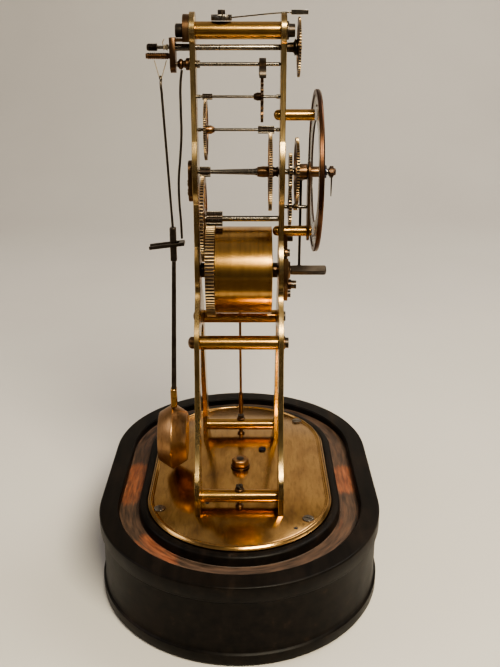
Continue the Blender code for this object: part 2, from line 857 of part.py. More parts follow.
def make_intermediate():
    lower = module_of(INTERMEDIATE_Z - BARREL_Z, GREAT_TEETH, INTERMEDIATE_PINION_LEAVES)
    upper = module_of(CENTRE_Z - INTERMEDIATE_Z, INTERMEDIATE_TEETH, CENTRE_PINION_LEAVES)
    shaft, seat, pivot = 1.8 * MM, 2.4 * MM, 1.3 * MM
    arbor(
        "intermediate_arbor",
        [(pivot, -28.1 * MM), (pivot, -24.7 * MM), (shaft, -24.7 * MM)],
        [
            (seat, 20.8 * MM),
            (seat, 24.7 * MM),
            (pivot, 24.7 * MM),
            (pivot, 28.1 * MM),
        ],
        INTERMEDIATE_PINION_LEAVES,
        lower,
        (10.5 * MM, 20.6 * MM),
        INTERMEDIATE_Z,
    )
    root, tip = gear_radii(upper, INTERMEDIATE_TEETH)
    phase = meshing_phase(INTERMEDIATE_TEETH, 90.0)
    loops = [toothed_edge(INTERMEDIATE_TEETH, root, tip, phase), circle(seat + GAP, 12)]
    loops += windows(5, 6.0 * MM, 22.6 * MM, 1.5 * MM)
    flat_along_y("intermediate_wheel", loops, INTERMEDIATE_WHEEL_Y, BRASS, INTERMEDIATE_Z)


def make_centre():
    lower = module_of(CENTRE_Z - INTERMEDIATE_Z, INTERMEDIATE_TEETH, CENTRE_PINION_LEAVES)
    upper = module_of(FOURTH_Z - CENTRE_Z, CENTRE_TEETH, FOURTH_PINION_LEAVES)
    arbor(
        "centre_arbor",
        [
            (1.0 * MM, -56.2 * MM),
            (1.0 * MM, -31.0 * MM),
            (1.7 * MM, -31.0 * MM),
            (1.7 * MM, -24.6 * MM),
            (3.4 * MM, -24.6 * MM),
            (3.4 * MM, -20.8 * MM),
            (2.4 * MM, -20.8 * MM),
            (2.4 * MM, -18.0 * MM),
            (3.3 * MM, -18.0 * MM),
            (3.3 * MM, -11.0 * MM),
            (2.3 * MM, -10.0 * MM),
            (1.3 * MM, 17.0 * MM),
        ],
        [(1.3 * MM, 24.7 * MM), (1.0 * MM, 24.7 * MM), (1.0 * MM, 28.1 * MM)],
        CENTRE_PINION_LEAVES,
        lower,
        (17.6 * MM, 24.2 * MM),
        CENTRE_Z,
    )
    root, tip = gear_radii(upper, CENTRE_TEETH)
    phase = meshing_phase(CENTRE_TEETH, 90.0)
    loops = [toothed_edge(CENTRE_TEETH, root, tip, phase), circle(2.4 * MM + GAP, 12)]
    loops += windows(5, 5.6 * MM, 20.4 * MM, 1.3 * MM)
    flat_along_y("centre_wheel", loops, CENTRE_WHEEL_Y, BRASS, CENTRE_Z)


def make_fourth():
    lower = module_of(FOURTH_Z - CENTRE_Z, CENTRE_TEETH, FOURTH_PINION_LEAVES)
    upper = module_of(ESCAPE_Z - FOURTH_Z, FOURTH_TEETH, ESCAPE_PINION_LEAVES)
    arbor(
        "fourth_arbor",
        [(0.7 * MM, -28.1 * MM), (0.7 * MM, -24.7 * MM), (0.9 * MM, -24.7 * MM)],
        [
            (0.9 * MM, 13.8 * MM),
            (2.6 * MM, 14.4 * MM),
            (2.6 * MM, 18.8 * MM),
            (1.7 * MM, 18.8 * MM),
            (1.7 * MM, 21.4 * MM),
            (0.9 * MM, 21.4 * MM),
            (0.9 * MM, 24.7 * MM),
            (0.7 * MM, 24.7 * MM),
            (0.7 * MM, 28.1 * MM),
        ],
        FOURTH_PINION_LEAVES,
        lower,
        (-21.7 * MM, -11.8 * MM),
        FOURTH_Z,
    )
    root, tip = gear_radii(upper, FOURTH_TEETH)
    phase = meshing_phase(FOURTH_TEETH, 90.0)
    loops = [toothed_edge(FOURTH_TEETH, root, tip, phase), circle(1.7 * MM + GAP, 12)]
    loops += windows(5, 4.4 * MM, 15.2 * MM, 1.0 * MM)
    flat_along_y("fourth_wheel", loops, FOURTH_WHEEL_Y, BRASS, FOURTH_Z)


def make_escape():
    lower = module_of(ESCAPE_Z - FOURTH_Z, FOURTH_TEETH, ESCAPE_PINION_LEAVES)
    arbor(
        "escape_arbor",
        [
            (0.6 * MM, -28.1 * MM),
            (0.6 * MM, -24.7 * MM),
            (1.3 * MM, -24.7 * MM),
            (1.3 * MM, -22.6 * MM),
            (0.8 * MM, -22.6 * MM),
            (0.8 * MM, -15.4 * MM),
            (1.6 * MM, -15.4 * MM),
            (1.6 * MM, -13.0 * MM),
            (2.9 * MM, -13.0 * MM),
            (2.9 * MM, -8.2 * MM),
            (0.8 * MM, -8.2 * MM),
        ],
        [(0.8 * MM, 24.7 * MM), (0.6 * MM, 24.7 * MM), (0.6 * MM, 28.1 * MM)],
        ESCAPE_PINION_LEAVES,
        lower,
        (15.7 * MM, 21.7 * MM),
        ESCAPE_Z,
    )
    pitch = 360.0 / ESCAPE_TEETH
    edge = []
    for number in range(ESCAPE_TEETH):
        angle = 90.0 + number * pitch
        edge += arc(12.3 * MM, angle, angle + 0.45 * pitch, 1)
        edge.append(polar(15.0 * MM, angle + 0.95 * pitch))
    loops = [edge, circle(1.6 * MM + GAP, 12)]
    loops += windows(4, 3.8 * MM, 10.8 * MM, 0.9 * MM, 4)
    flat_along_y("escape_wheel", loops, ESCAPE_WHEEL_Y, BRASS, ESCAPE_Z)


def make_pallets():
    """The anchor spans five teeth. Its pads stand just clear of the tooth tips."""
    turned_along_y(
        "pallet_arbor",
        [
            (0.0, -28.1 * MM),
            (0.7 * MM, -28.1 * MM),
            (0.7 * MM, -24.7 * MM),
            (1.1 * MM, -24.7 * MM),
            (1.1 * MM, 22.7 * MM),
            (2.2 * MM, 22.7 * MM),
            (2.2 * MM, 24.7 * MM),
            (1.6 * MM, 24.7 * MM),
            (1.6 * MM, 36.3 * MM),
            (0.7 * MM, 36.3 * MM),
            (0.7 * MM, 39.9 * MM),
            (0.0, 39.9 * MM),
        ],
        STEEL,
        PALLET_Z,
        steps=12,
    )
    drop = ESCAPE_Z - PALLET_Z
    tooth_clearance = 15.9 * MM
    pad_out, pad_in = 13.0 * MM, 8.7 * MM
    low_in = drop + math.sqrt(tooth_clearance**2 - pad_in**2)
    low_out = drop + math.sqrt(tooth_clearance**2 - (pad_out - 2.2 * MM) ** 2) - 0.5 * MM
    half = [
        (0.0, 3.6 * MM),
        (2.4 * MM, 2.6 * MM),
        (6.5 * MM, 0.2 * MM),
        (10.5 * MM, -3.4 * MM),
        (pad_out - 1.6 * MM, low_out + 1.6 * MM),
        (pad_out - 1.9 * MM, low_out),
        (pad_in, low_in),
        (8.3 * MM, -3.6 * MM),
        (5.0 * MM, -1.5 * MM),
        (2.4 * MM, -2.3 * MM),
        (0.0, -2.6 * MM),
    ]
    loops = [mirrored_open(half), circle(1.1 * MM + GAP, 10)]
    flat_along_y("pallet_anchor", loops, (-16.4 * MM, -12.3 * MM), STEEL, PALLET_Z)


def make_crutch():
    turned_along_y(
        "crutch_hub",
        [
            (1.9 * MM, PLATE_OUTER + 0.6 * MM),
            (3.5 * MM, PLATE_OUTER + 0.6 * MM),
            (3.5 * MM, 31.6 * MM),
            (2.9 * MM, 32.2 * MM),
            (3.3 * MM, 33.6 * MM),
            (2.9 * MM, 35.2 * MM),
            (1.9 * MM, 35.9 * MM),
        ],
        OLD_BRASS,
        PALLET_Z,
        steps=16,
        closed=True,
    )
    hub_low = PALLET_Z - 3.9 * MM
    route = [
        (0.0, 33.6 * MM, hub_low),
        (0.0, 34.6 * MM, 321.0 * MM),
        (0.0, 34.9 * MM, 306.0 * MM),
        (0.0, 34.9 * MM, 292.0 * MM),
        (0.0, 36.0 * MM, 278.0 * MM),
        (0.0, 37.4 * MM, 264.0 * MM),
        (0.0, 37.5 * MM, 250.0 * MM),
        (0.0, 36.8 * MM, 236.0 * MM),
        (0.0, 36.6 * MM, 226.2 * MM),
    ]
    pivot = (0.0, 36.6 * MM, PALLET_Z)
    wire("crutch_wire", route, 0.75 * MM, STEEL, origin=pivot)
    fork_in = 2.6 * MM
    prong = 1.3 * MM
    front, slot, rear = 34.9 * MM, 38.3 * MM, 57.6 * MM
    outer = fork_in + prong

    def build(work):
        corners = [
            (-outer, front),
            (outer, front),
            (outer, rear),
            (fork_in, rear),
            (fork_in, slot),
            (-fork_in, slot),
            (-fork_in, rear),
            (-outer, rear),
        ]
        low, high = FORK_Z - 1.1 * MM - PALLET_Z, FORK_Z + 1.1 * MM - PALLET_Z
        base = work.faces.new([work.verts.new((x, y - pivot[1], low)) for x, y in corners])
        grown = bmesh.ops.extrude_face_region(work, geom=[base])
        risen = [part for part in grown["geom"] if isinstance(part, bmesh.types.BMVert)]
        bmesh.ops.translate(work, vec=(0.0, 0.0, high - low), verts=risen)

    add_object("crutch_fork", mesh_of("crutch_fork", build), OLD_BRASS, pivot)


# ---------------------------------------------------------------- suspension and rating


def make_suspension():
    foot = [
        *arc(8.0 * MM, 0.0, 180.0, 10, (0.0, TOP_PILLAR_Z + 1.0 * MM)),
        (-8.0 * MM, 344.4 * MM),
        (8.0 * MM, 344.4 * MM),
    ]
    foot_y = (PLATE_OUTER + GAP, PLATE_OUTER + 3.9 * MM)
    hole = circle(3.0 * MM, 12, (0.0, TOP_PILLAR_Z))
    cock = flat_along_y("suspension_cock", [foot, hole], foot_y, BRASS, 0.0)
    shelf = box(
        "shelf",
        (-6.0 * MM, foot_y[0] + 1.0 * MM, 344.6 * MM),
        (6.0 * MM, 39.0 * MM, 346.4 * MM),
        BRASS,
    )
    cock = boolean(cock, shelf, "UNION")
    leg_edge = [
        (-7.0 * MM, 346.9 * MM),
        (7.0 * MM, 346.9 * MM),
        *arc(5.5 * MM, 0.0, -180.0, 8, (0.0, PALLET_Z + 0.5 * MM)),
    ]
    leg_holes = [circle(2.3 * MM, 12, (0.0, RATING_Z)), circle(0.9 * MM, 12, (0.0, PALLET_Z))]
    leg = flat_along_y("leg", [leg_edge, *leg_holes], (36.8 * MM, 40.1 * MM), BRASS, 0.0)
    boolean(cock, leg, "UNION")
    pin_z = SUSPENSION_Z + 3.4 * MM
    ribs = []
    for number in range(3):
        start = (41.4 + 4.4 * number) * MM
        ribs += [(1.5 * MM, start), (1.9 * MM, start + 1.0 * MM), (1.5 * MM, start + 2.0 * MM)]
    turned_along_y(
        "suspension_pin",
        [(0.0, 40.4 * MM), (1.6 * MM, 40.4 * MM), *ribs, (1.6 * MM, 54.6 * MM), (0.0, 54.6 * MM)],
        BRASS,
        pin_z,
        steps=12,
    )


def make_silk():
    """The loop of silk under the suspension pin, with the pendulum's hook in its foot."""
    top = SUSPENSION_Z + 0.9 * MM
    route = [
        (0.0, SILK_FRONT_Y, top),
        (0.0, HOOK_Y - 1.2 * MM, HOOK_Z + 0.7 * MM),
        (0.0, HOOK_Y + 1.2 * MM, HOOK_Z + 0.7 * MM),
        (0.0, SILK_REAR_Y, top),
    ]
    wire("suspension_silk", route, 0.28 * MM, SILK, sides=1, origin=(0.0, HOOK_Y, SUSPENSION_Z))


def make_rating():
    turned_along_y(
        "rating_arbor",
        [
            (0.0, -37.4 * MM),
            (1.2 * MM, -37.4 * MM),
            (1.7 * MM, -36.9 * MM),
            (1.7 * MM, 28.9 * MM),
            (2.0 * MM, 28.9 * MM),
            (2.0 * MM, 40.6 * MM),
            (1.0 * MM, 40.6 * MM),
            (1.0 * MM, 47.3 * MM),
            (2.3 * MM, 47.6 * MM),
            (1.7 * MM, 50.4 * MM),
            (2.3 * MM, 53.2 * MM),
            (1.6 * MM, 53.8 * MM),
            (0.0, 53.8 * MM),
        ],
        STEEL,
        RATING_Z,
        steps=12,
    )
    wheel_y = (-36.3 * MM, -33.9 * MM)
    loops = [toothed_edge(RATING_TEETH, 15.9 * MM, 16.8 * MM), circle(1.7 * MM + GAP, 12)]
    wheel = flat_along_y("rating_wheel", loops, wheel_y, BRASS, RATING_Z)
    collar = turned_along_y(
        "collar",
        [
            (1.7 * MM + GAP, -35.0 * MM),
            (4.4 * MM, -35.0 * MM),
            (4.4 * MM, -32.0 * MM),
            (2.7 * MM, -31.6 * MM),
            (2.7 * MM, -28.7 * MM),
            (1.7 * MM + GAP, -28.7 * MM),
        ],
        BRASS,
        RATING_Z,
        steps=12,
        closed=True,
    )
    boolean(wheel, as_mesh(collar), "UNION")


DETENT_PIVOT = (-4.2 * MM, 4.8 * MM, 357.6 * MM)


def make_detent():
    """The thumb nut on the top pillar, and the springy detent that lies over the rating wheel."""
    nut_y = 9.7 * MM
    low = TOP_PILLAR_Z + 5.0 * MM + GAP
    turned_along_z(
        "thumb_nut",
        [
            (0.0, 362.0 * MM),
            (1.7 * MM, 362.0 * MM),
            (2.2 * MM, 361.4 * MM),
            (2.2 * MM, 359.4 * MM),
            (5.6 * MM, 359.4 * MM),
            (6.1 * MM, 358.9 * MM),
            (6.1 * MM, low + 0.5 * MM),
            (5.6 * MM, low),
            (0.0, low),
        ],
        STEEL,
        0.0,
        nut_y,
        steps=24,
    )
    route = [
        DETENT_PIVOT,
        (-4.8 * MM, -10.0 * MM, 358.9 * MM),
        (-5.5 * MM, -23.0 * MM, 360.4 * MM),
        (-5.5 * MM, -29.0 * MM, 360.4 * MM),
        (-5.5 * MM, -33.0 * MM, 359.3 * MM),
    ]
    spring = wire("detent_spring", route, 0.4 * MM, STEEL, sides=1, origin=DETENT_PIVOT)
    tip = box(
        "tip",
        (-7.1 * MM, -40.4 * MM, 358.1 * MM),
        (-3.9 * MM, -30.6 * MM, 360.0 * MM),
        STEEL,
        0.3 * MM,
    )
    boolean(spring, tip, "UNION")


# ---------------------------------------------------------------- pendulum


def make_pendulum():
    """A wire with a hook, a block for the crutch's fork, a flat rod, a ferrule and a two-coned bob."""
    axis = (0.0, HOOK_Y, SUSPENSION_Z)
    block_top = BLOCK_Z[1] + GAP
    hook = []
    for step in range(9):
        angle = math.radians(-60.0 + 40.0 * step)
        hook.append((1.5 * MM * math.cos(angle), HOOK_Y, HOOK_Z + 1.0 * MM + 1.5 * MM * math.sin(angle)))
    route = [
        *reversed(hook[:7]),
        (0.0, HOOK_Y, HOOK_Z - 2.4 * MM),
        (0.0, HOOK_Y - 0.3 * MM, HOOK_Z - 6.0 * MM),
        (0.0, BLOCK_Y, block_top),
    ]
    wire("pendulum_wire", route, 0.75 * MM, STEEL, origin=axis)
    box(
        "pendulum_block",
        (-2.2 * MM, BLOCK_Y - 2.0 * MM, BLOCK_Z[0]),
        (2.2 * MM, BLOCK_Y + 2.0 * MM, BLOCK_Z[1]),
        STEEL,
        0.7 * MM,
        axis,
    )
    rod_top, rod_low = BLOCK_Z[0] - GAP, BOB_Z + BOB_RADIUS + GAP

    def tapered(work):
        rings = []
        for z, y, half_y, half_x in (
            (rod_top, BLOCK_Y, 1.2 * MM, 1.5 * MM),
            (rod_low, 45.6 * MM, 1.6 * MM, 2.4 * MM),
        ):
            corners = ((-half_x, -half_y), (half_x, -half_y), (half_x, half_y), (-half_x, half_y))
            rings.append(
                [work.verts.new((x, y + dy - axis[1], z - axis[2])) for x, dy in corners]
            )
        for corner in range(4):
            after = (corner + 1) % 4
            work.faces.new((rings[0][corner], rings[0][after], rings[1][after], rings[1][corner]))
        work.faces.new(rings[0])
        work.faces.new(rings[1])

    add_object("pendulum_rod", mesh_of("pendulum_rod", tapered), STEEL, axis)
    turned_along_y(
        "pendulum_bob",
        [
            (0.0, BOB_Y - BOB_HALF_THICKNESS),
            (BOB_FACE_RADIUS, BOB_Y - BOB_HALF_THICKNESS),
            (BOB_RADIUS, BOB_Y - 0.5 * MM),
            (BOB_RADIUS, BOB_Y + 0.5 * MM),
            (BOB_FACE_RADIUS, BOB_Y + BOB_HALF_THICKNESS),
            (0.0, BOB_Y + BOB_HALF_THICKNESS),
        ],
        BRASS,
        BOB_Z,
        steps=32,
    )


# ---------------------------------------------------------------- motion work, dial and hands


def make_motion_work():
    module = 2 * MOTION_DISTANCE / (2 * CANNON_TEETH)
    root, tip = gear_radii(module, CANNON_TEETH)
    front, rear = CANNON_WHEEL_Y
    edge = toothed_edge(CANNON_TEETH, root, tip, meshing_phase(CANNON_TEETH, -90.0))
    wheel = flat_along_y("cannon_wheel", [edge, circle(1.7 * MM, 8)], CANNON_WHEEL_Y, BRASS, CENTRE_Z)
    pipe = turned_along_y(
        "pipe",
        [
            (1.3 * MM, -55.0 * MM),
            (2.1 * MM, -55.0 * MM),
            (2.1 * MM, (front + rear) / 2),
            (1.3 * MM, (front + rear) / 2),
        ],
        BRASS,
        CENTRE_Z,
        steps=12,
        closed=True,
    )
    boolean(wheel, as_mesh(pipe), "UNION")
    pinion_module = module_of(MOTION_DISTANCE, HOUR_TEETH, MINUTE_PINION_LEAVES)
    arbor(
        "minute_arbor",
        [(0.7 * MM, -44.2 * MM), (0.7 * MM, -42.4 * MM), (0.9 * MM, -42.4 * MM)],
        [(0.9 * MM, -28.6 * MM), (0.8 * MM, -28.6 * MM), (0.8 * MM, -25.4 * MM)],
        MINUTE_PINION_LEAVES,
        pinion_module,
        (-37.4 * MM, -34.2 * MM),
        MINUTE_Z,
    )
    edge = toothed_edge(CANNON_TEETH, root, tip, 90.0)
    loops = [edge, circle(0.9 * MM + GAP, 12)]
    flat_along_y("minute_wheel", loops, CANNON_WHEEL_Y, BRASS, MINUTE_Z)
    root, tip = gear_radii(pinion_module, HOUR_TEETH)
    edge = toothed_edge(HOUR_TEETH, root, tip, meshing_phase(HOUR_TEETH, -90.0))
    loops = [edge, circle(3.7 * MM, 12)]
    wheel = flat_along_y("hour_wheel", loops, HOUR_WHEEL_Y, BRASS, CENTRE_Z)
    pipe = turned_along_y(
        "pipe",
        [
            (2.5 * MM, -51.2 * MM),
            (3.3 * MM, -51.2 * MM),
            (3.3 * MM, -42.4 * MM),
            (4.9 * MM, -42.4 * MM),
            (4.9 * MM, -35.8 * MM),
            (2.5 * MM, -35.8 * MM),
        ],
        BRASS,
        CENTRE_Z,
        steps=16,
        closed=True,
    )
    boolean(wheel, as_mesh(pipe), "UNION")


def make_motion_bridge():
    """The strap from the lower dial pillar up to the centre, which holds the minute arbor's front pivot."""
    edge = arc(6.6 * MM, -20.0, 200.0, 8, (0.0, CENTRE_Z))
    edge += arc(6.2 * MM, 160.0, 380.0, 8, (0.0, LOWER_DIAL_PILLAR_Z))
    holes = [
        circle(3.7 * MM, 12, (0.0, CENTRE_Z)),
        circle(DIAL_PILLAR_RADIUS + GAP, 12, (0.0, LOWER_DIAL_PILLAR_Z)),
        circle(0.9 * MM, 8, (0.0, MINUTE_Z)),
    ]
    flat_along_y("motion_bridge", [edge, *holes], BRIDGE_Y, BRASS, 0.0)
    turned_along_z(
        "bridge_stay",
        [
            (0.0, 264.6 * MM),
            (2.0 * MM, 264.6 * MM),
            (2.0 * MM, 262.0 * MM),
            (0.85 * MM, 261.6 * MM),
            (0.85 * MM, 205.6 * MM),
            (2.0 * MM, 205.2 * MM),
            (2.0 * MM, 201.0 * MM),
            (0.0, 201.0 * MM),
        ],
        BLUED_STEEL,
        9.0 * MM,
        -39.2 * MM,
        steps=10,
    )


def make_dial():
    front, rear = DIAL_Y
    rim = DIAL_RADIUS - 1.8 * MM
    turned_along_y(
        "dial_ring",
        [
            (DIAL_INNER_RADIUS, front + 0.5 * MM),
            (DIAL_INNER_RADIUS + 1.0 * MM, front + 0.1 * MM),
            (rim - 1.0 * MM, front + 0.1 * MM),
            (rim, front + 0.5 * MM),
            (rim, rear - 0.7 * MM),
            (DIAL_INNER_RADIUS, rear - 0.7 * MM),
        ],
        ENAMEL,
        CENTRE_Z,
        steps=36,
        closed=True,
    )
    turned_along_y(
        "dial_bezel",
        [
            (rim + GAP, front - 0.6 * MM),
            (DIAL_RADIUS - 0.5 * MM, front - 0.6 * MM),
            (DIAL_RADIUS, front),
            (DIAL_RADIUS, rear),
            (rim - 3.0 * MM, rear),
            (rim - 3.0 * MM, rear - 0.4 * MM),
            (rim + GAP, rear - 0.4 * MM),
        ],
        OLD_BRASS,
        CENTRE_Z,
        steps=36,
        closed=True,
    )
    for name, z in (
        ("upper_dial_pillar", UPPER_DIAL_PILLAR_Z),
        ("lower_dial_pillar", LOWER_DIAL_PILLAR_Z),
    ):
        turned_along_y(
            name,
            [
                (0.0, rear + GAP),
                (DIAL_PILLAR_RADIUS, rear + GAP),
                (DIAL_PILLAR_RADIUS, -PLATE_OUTER - GAP),
                (1.5 * MM, -PLATE_OUTER - GAP),
                (1.5 * MM, -PLATE_INNER + GAP),
                (3.3 * MM, -PLATE_INNER + GAP),
                (3.3 * MM, -PLATE_INNER + 1.6 * MM),
                (2.2 * MM, -PLATE_INNER + 3.2 * MM),
                (0.0, -PLATE_INNER + 3.8 * MM),
            ],
            BRASS,
            z,
            steps=16,
        )


def clock_angle(degrees):
    """Degrees clockwise from twelve, as an angle counter-clockwise from +X seen from the front."""
    return math.radians(90.0 - degrees)


def hand_edge(length, hub, tail, degrees):
    """A slender leaf-shaped hand with a ring round its pipe."""
    half = [
        (0.62 * MM, hub),
        (0.62 * MM, length * 0.42),
        (2.1 * MM, length * 0.58),
        (1.5 * MM, length * 0.72),
        (0.35 * MM, length * 0.94),
        (0.0, length),
    ]
    side = math.degrees(math.asin(0.62 * MM / tail))
    ring = arc(tail, 90.0 + side, 450.0 - side, 14)
    upright = ring + half[1:] + [(-across, up) for across, up in reversed(half[1:-1])]
    turn = clock_angle(degrees) - math.pi / 2
    cos, sin = math.cos(turn), math.sin(turn)
    return [(x * cos - z * sin, x * sin + z * cos) for x, z in upright]


def make_hands():
    hour_degrees = SHOWN_MINUTES * 0.5
    minute_degrees = (SHOWN_MINUTES % 60) * 6.0
    hour = hand_edge(29.0 * MM, 5.0 * MM, 5.2 * MM, hour_degrees)
    flat_along_y("hour_hand", [hour, circle(3.6 * MM, 16)], (-50.9 * MM, -50.1 * MM), BLUED_STEEL, CENTRE_Z)
    minute = hand_edge(43.0 * MM, 3.8 * MM, 4.0 * MM, minute_degrees)
    flat_along_y("minute_hand", [minute, circle(2.4 * MM, 16)], (-54.2 * MM, -53.4 * MM), BLUED_STEEL, CENTRE_Z)
    turned_along_y(
        "hand_nut",
        [
            (1.3 * MM, -60.0 * MM),
            (2.2 * MM, -60.0 * MM),
            (3.6 * MM, -58.4 * MM),
            (3.6 * MM, -56.4 * MM),
            (2.6 * MM, -55.3 * MM),
            (1.3 * MM, -55.3 * MM),
        ],
        STEEL,
        CENTRE_Z,
        steps=16,
        closed=True,
    )


make_base()
make_platform_fastening()
make_plates()
make_pillars()
make_foot_screws()
make_frame_nuts()
make_stay_rod()
make_barrel()
make_barrel_arbor()
make_mainspring()
make_ratchet()
make_click()
make_intermediate()
make_centre()
make_fourth()
make_escape()
make_pallets()
make_crutch()
make_suspension()
make_silk()
make_rating()
make_detent()
make_pendulum()
make_motion_work()
make_motion_bridge()
make_dial()
make_hands()
bpy.data.collections.remove(CUTTERS)
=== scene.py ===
"""The looks of the skeleton clock: finished metal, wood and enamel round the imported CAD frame.

Places and sizes are in millimetres, and become metres where a vertex, a knot or a node takes them. The stage,
the lights and the camera are in metres."""

import json
import math

import bmesh
import bpy
from mathutils import Matrix, Vector


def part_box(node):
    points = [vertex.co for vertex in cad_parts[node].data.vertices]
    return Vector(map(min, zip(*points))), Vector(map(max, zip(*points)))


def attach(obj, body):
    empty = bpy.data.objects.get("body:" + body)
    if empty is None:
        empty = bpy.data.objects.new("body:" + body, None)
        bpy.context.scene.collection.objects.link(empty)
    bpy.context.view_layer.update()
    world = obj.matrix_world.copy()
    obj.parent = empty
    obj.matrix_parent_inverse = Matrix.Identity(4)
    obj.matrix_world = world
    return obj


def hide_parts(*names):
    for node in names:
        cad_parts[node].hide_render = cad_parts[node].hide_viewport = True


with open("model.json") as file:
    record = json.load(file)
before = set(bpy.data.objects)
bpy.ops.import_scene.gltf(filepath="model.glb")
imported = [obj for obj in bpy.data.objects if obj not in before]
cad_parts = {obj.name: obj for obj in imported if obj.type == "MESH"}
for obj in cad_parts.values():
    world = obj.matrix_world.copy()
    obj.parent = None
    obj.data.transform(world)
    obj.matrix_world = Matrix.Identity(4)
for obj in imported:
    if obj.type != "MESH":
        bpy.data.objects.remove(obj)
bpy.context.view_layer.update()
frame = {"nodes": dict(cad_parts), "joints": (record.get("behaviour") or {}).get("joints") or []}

MM = 0.001
SHARP = math.radians(38.0)
STEM_HALF_WIDTH = 7.5

# ---------------------------------------------------------------- places, read from the frame


def box(node):
    """The node's lowest and highest corners."""
    low_corner, high_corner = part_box(node)
    return Vector(low_corner) / MM, Vector(high_corner) / MM


def low(node):
    return box(node)[0]


def high(node):
    return box(node)[1]


def middle(node):
    return (low(node) + high(node)) / 2


AXIS = {joint["child"]: Vector(joint["pos_m"]) / MM for joint in frame["joints"]}
CENTRE_Z = AXIS["centre"].z
BARREL_Z = AXIS["barrel"].z
INTERMEDIATE_Z = AXIS["intermediate"].z
FOURTH_Z = AXIS["fourth"].z
ESCAPE_Z = AXIS["escape"].z
PALLET_Z = AXIS["crutch"].z
RATING_Z = AXIS["rating"].z
MINUTE_Z = AXIS["minute_work"].z
TOP_PILLAR_Z = middle("top_pillar").z
MID_PILLAR_X, MID_PILLAR_Z = middle("right_mid_pillar").x, middle("right_mid_pillar").z
FOOT_X, FOOT_PILLAR_Z = middle("right_foot_pillar").x, middle("right_foot_pillar").z
FRONT_OUT, FRONT_IN = low("front_plate").y, high("front_plate").y
REAR_IN, REAR_OUT = low("rear_plate").y, high("rear_plate").y
BASE_RADIUS = high("wood_base").y
STRAIGHT_HALF = high("wood_base").x - BASE_RADIUS
PLATFORM_RADIUS = high("platform_plate").y
PLATFORM_TOP = high("platform_plate").z - 0.7
GROOVE_MIDDLE = PLATFORM_RADIUS + 12.5
GROOVE_FLOOR = 51.5

# ---------------------------------------------------------------- materials


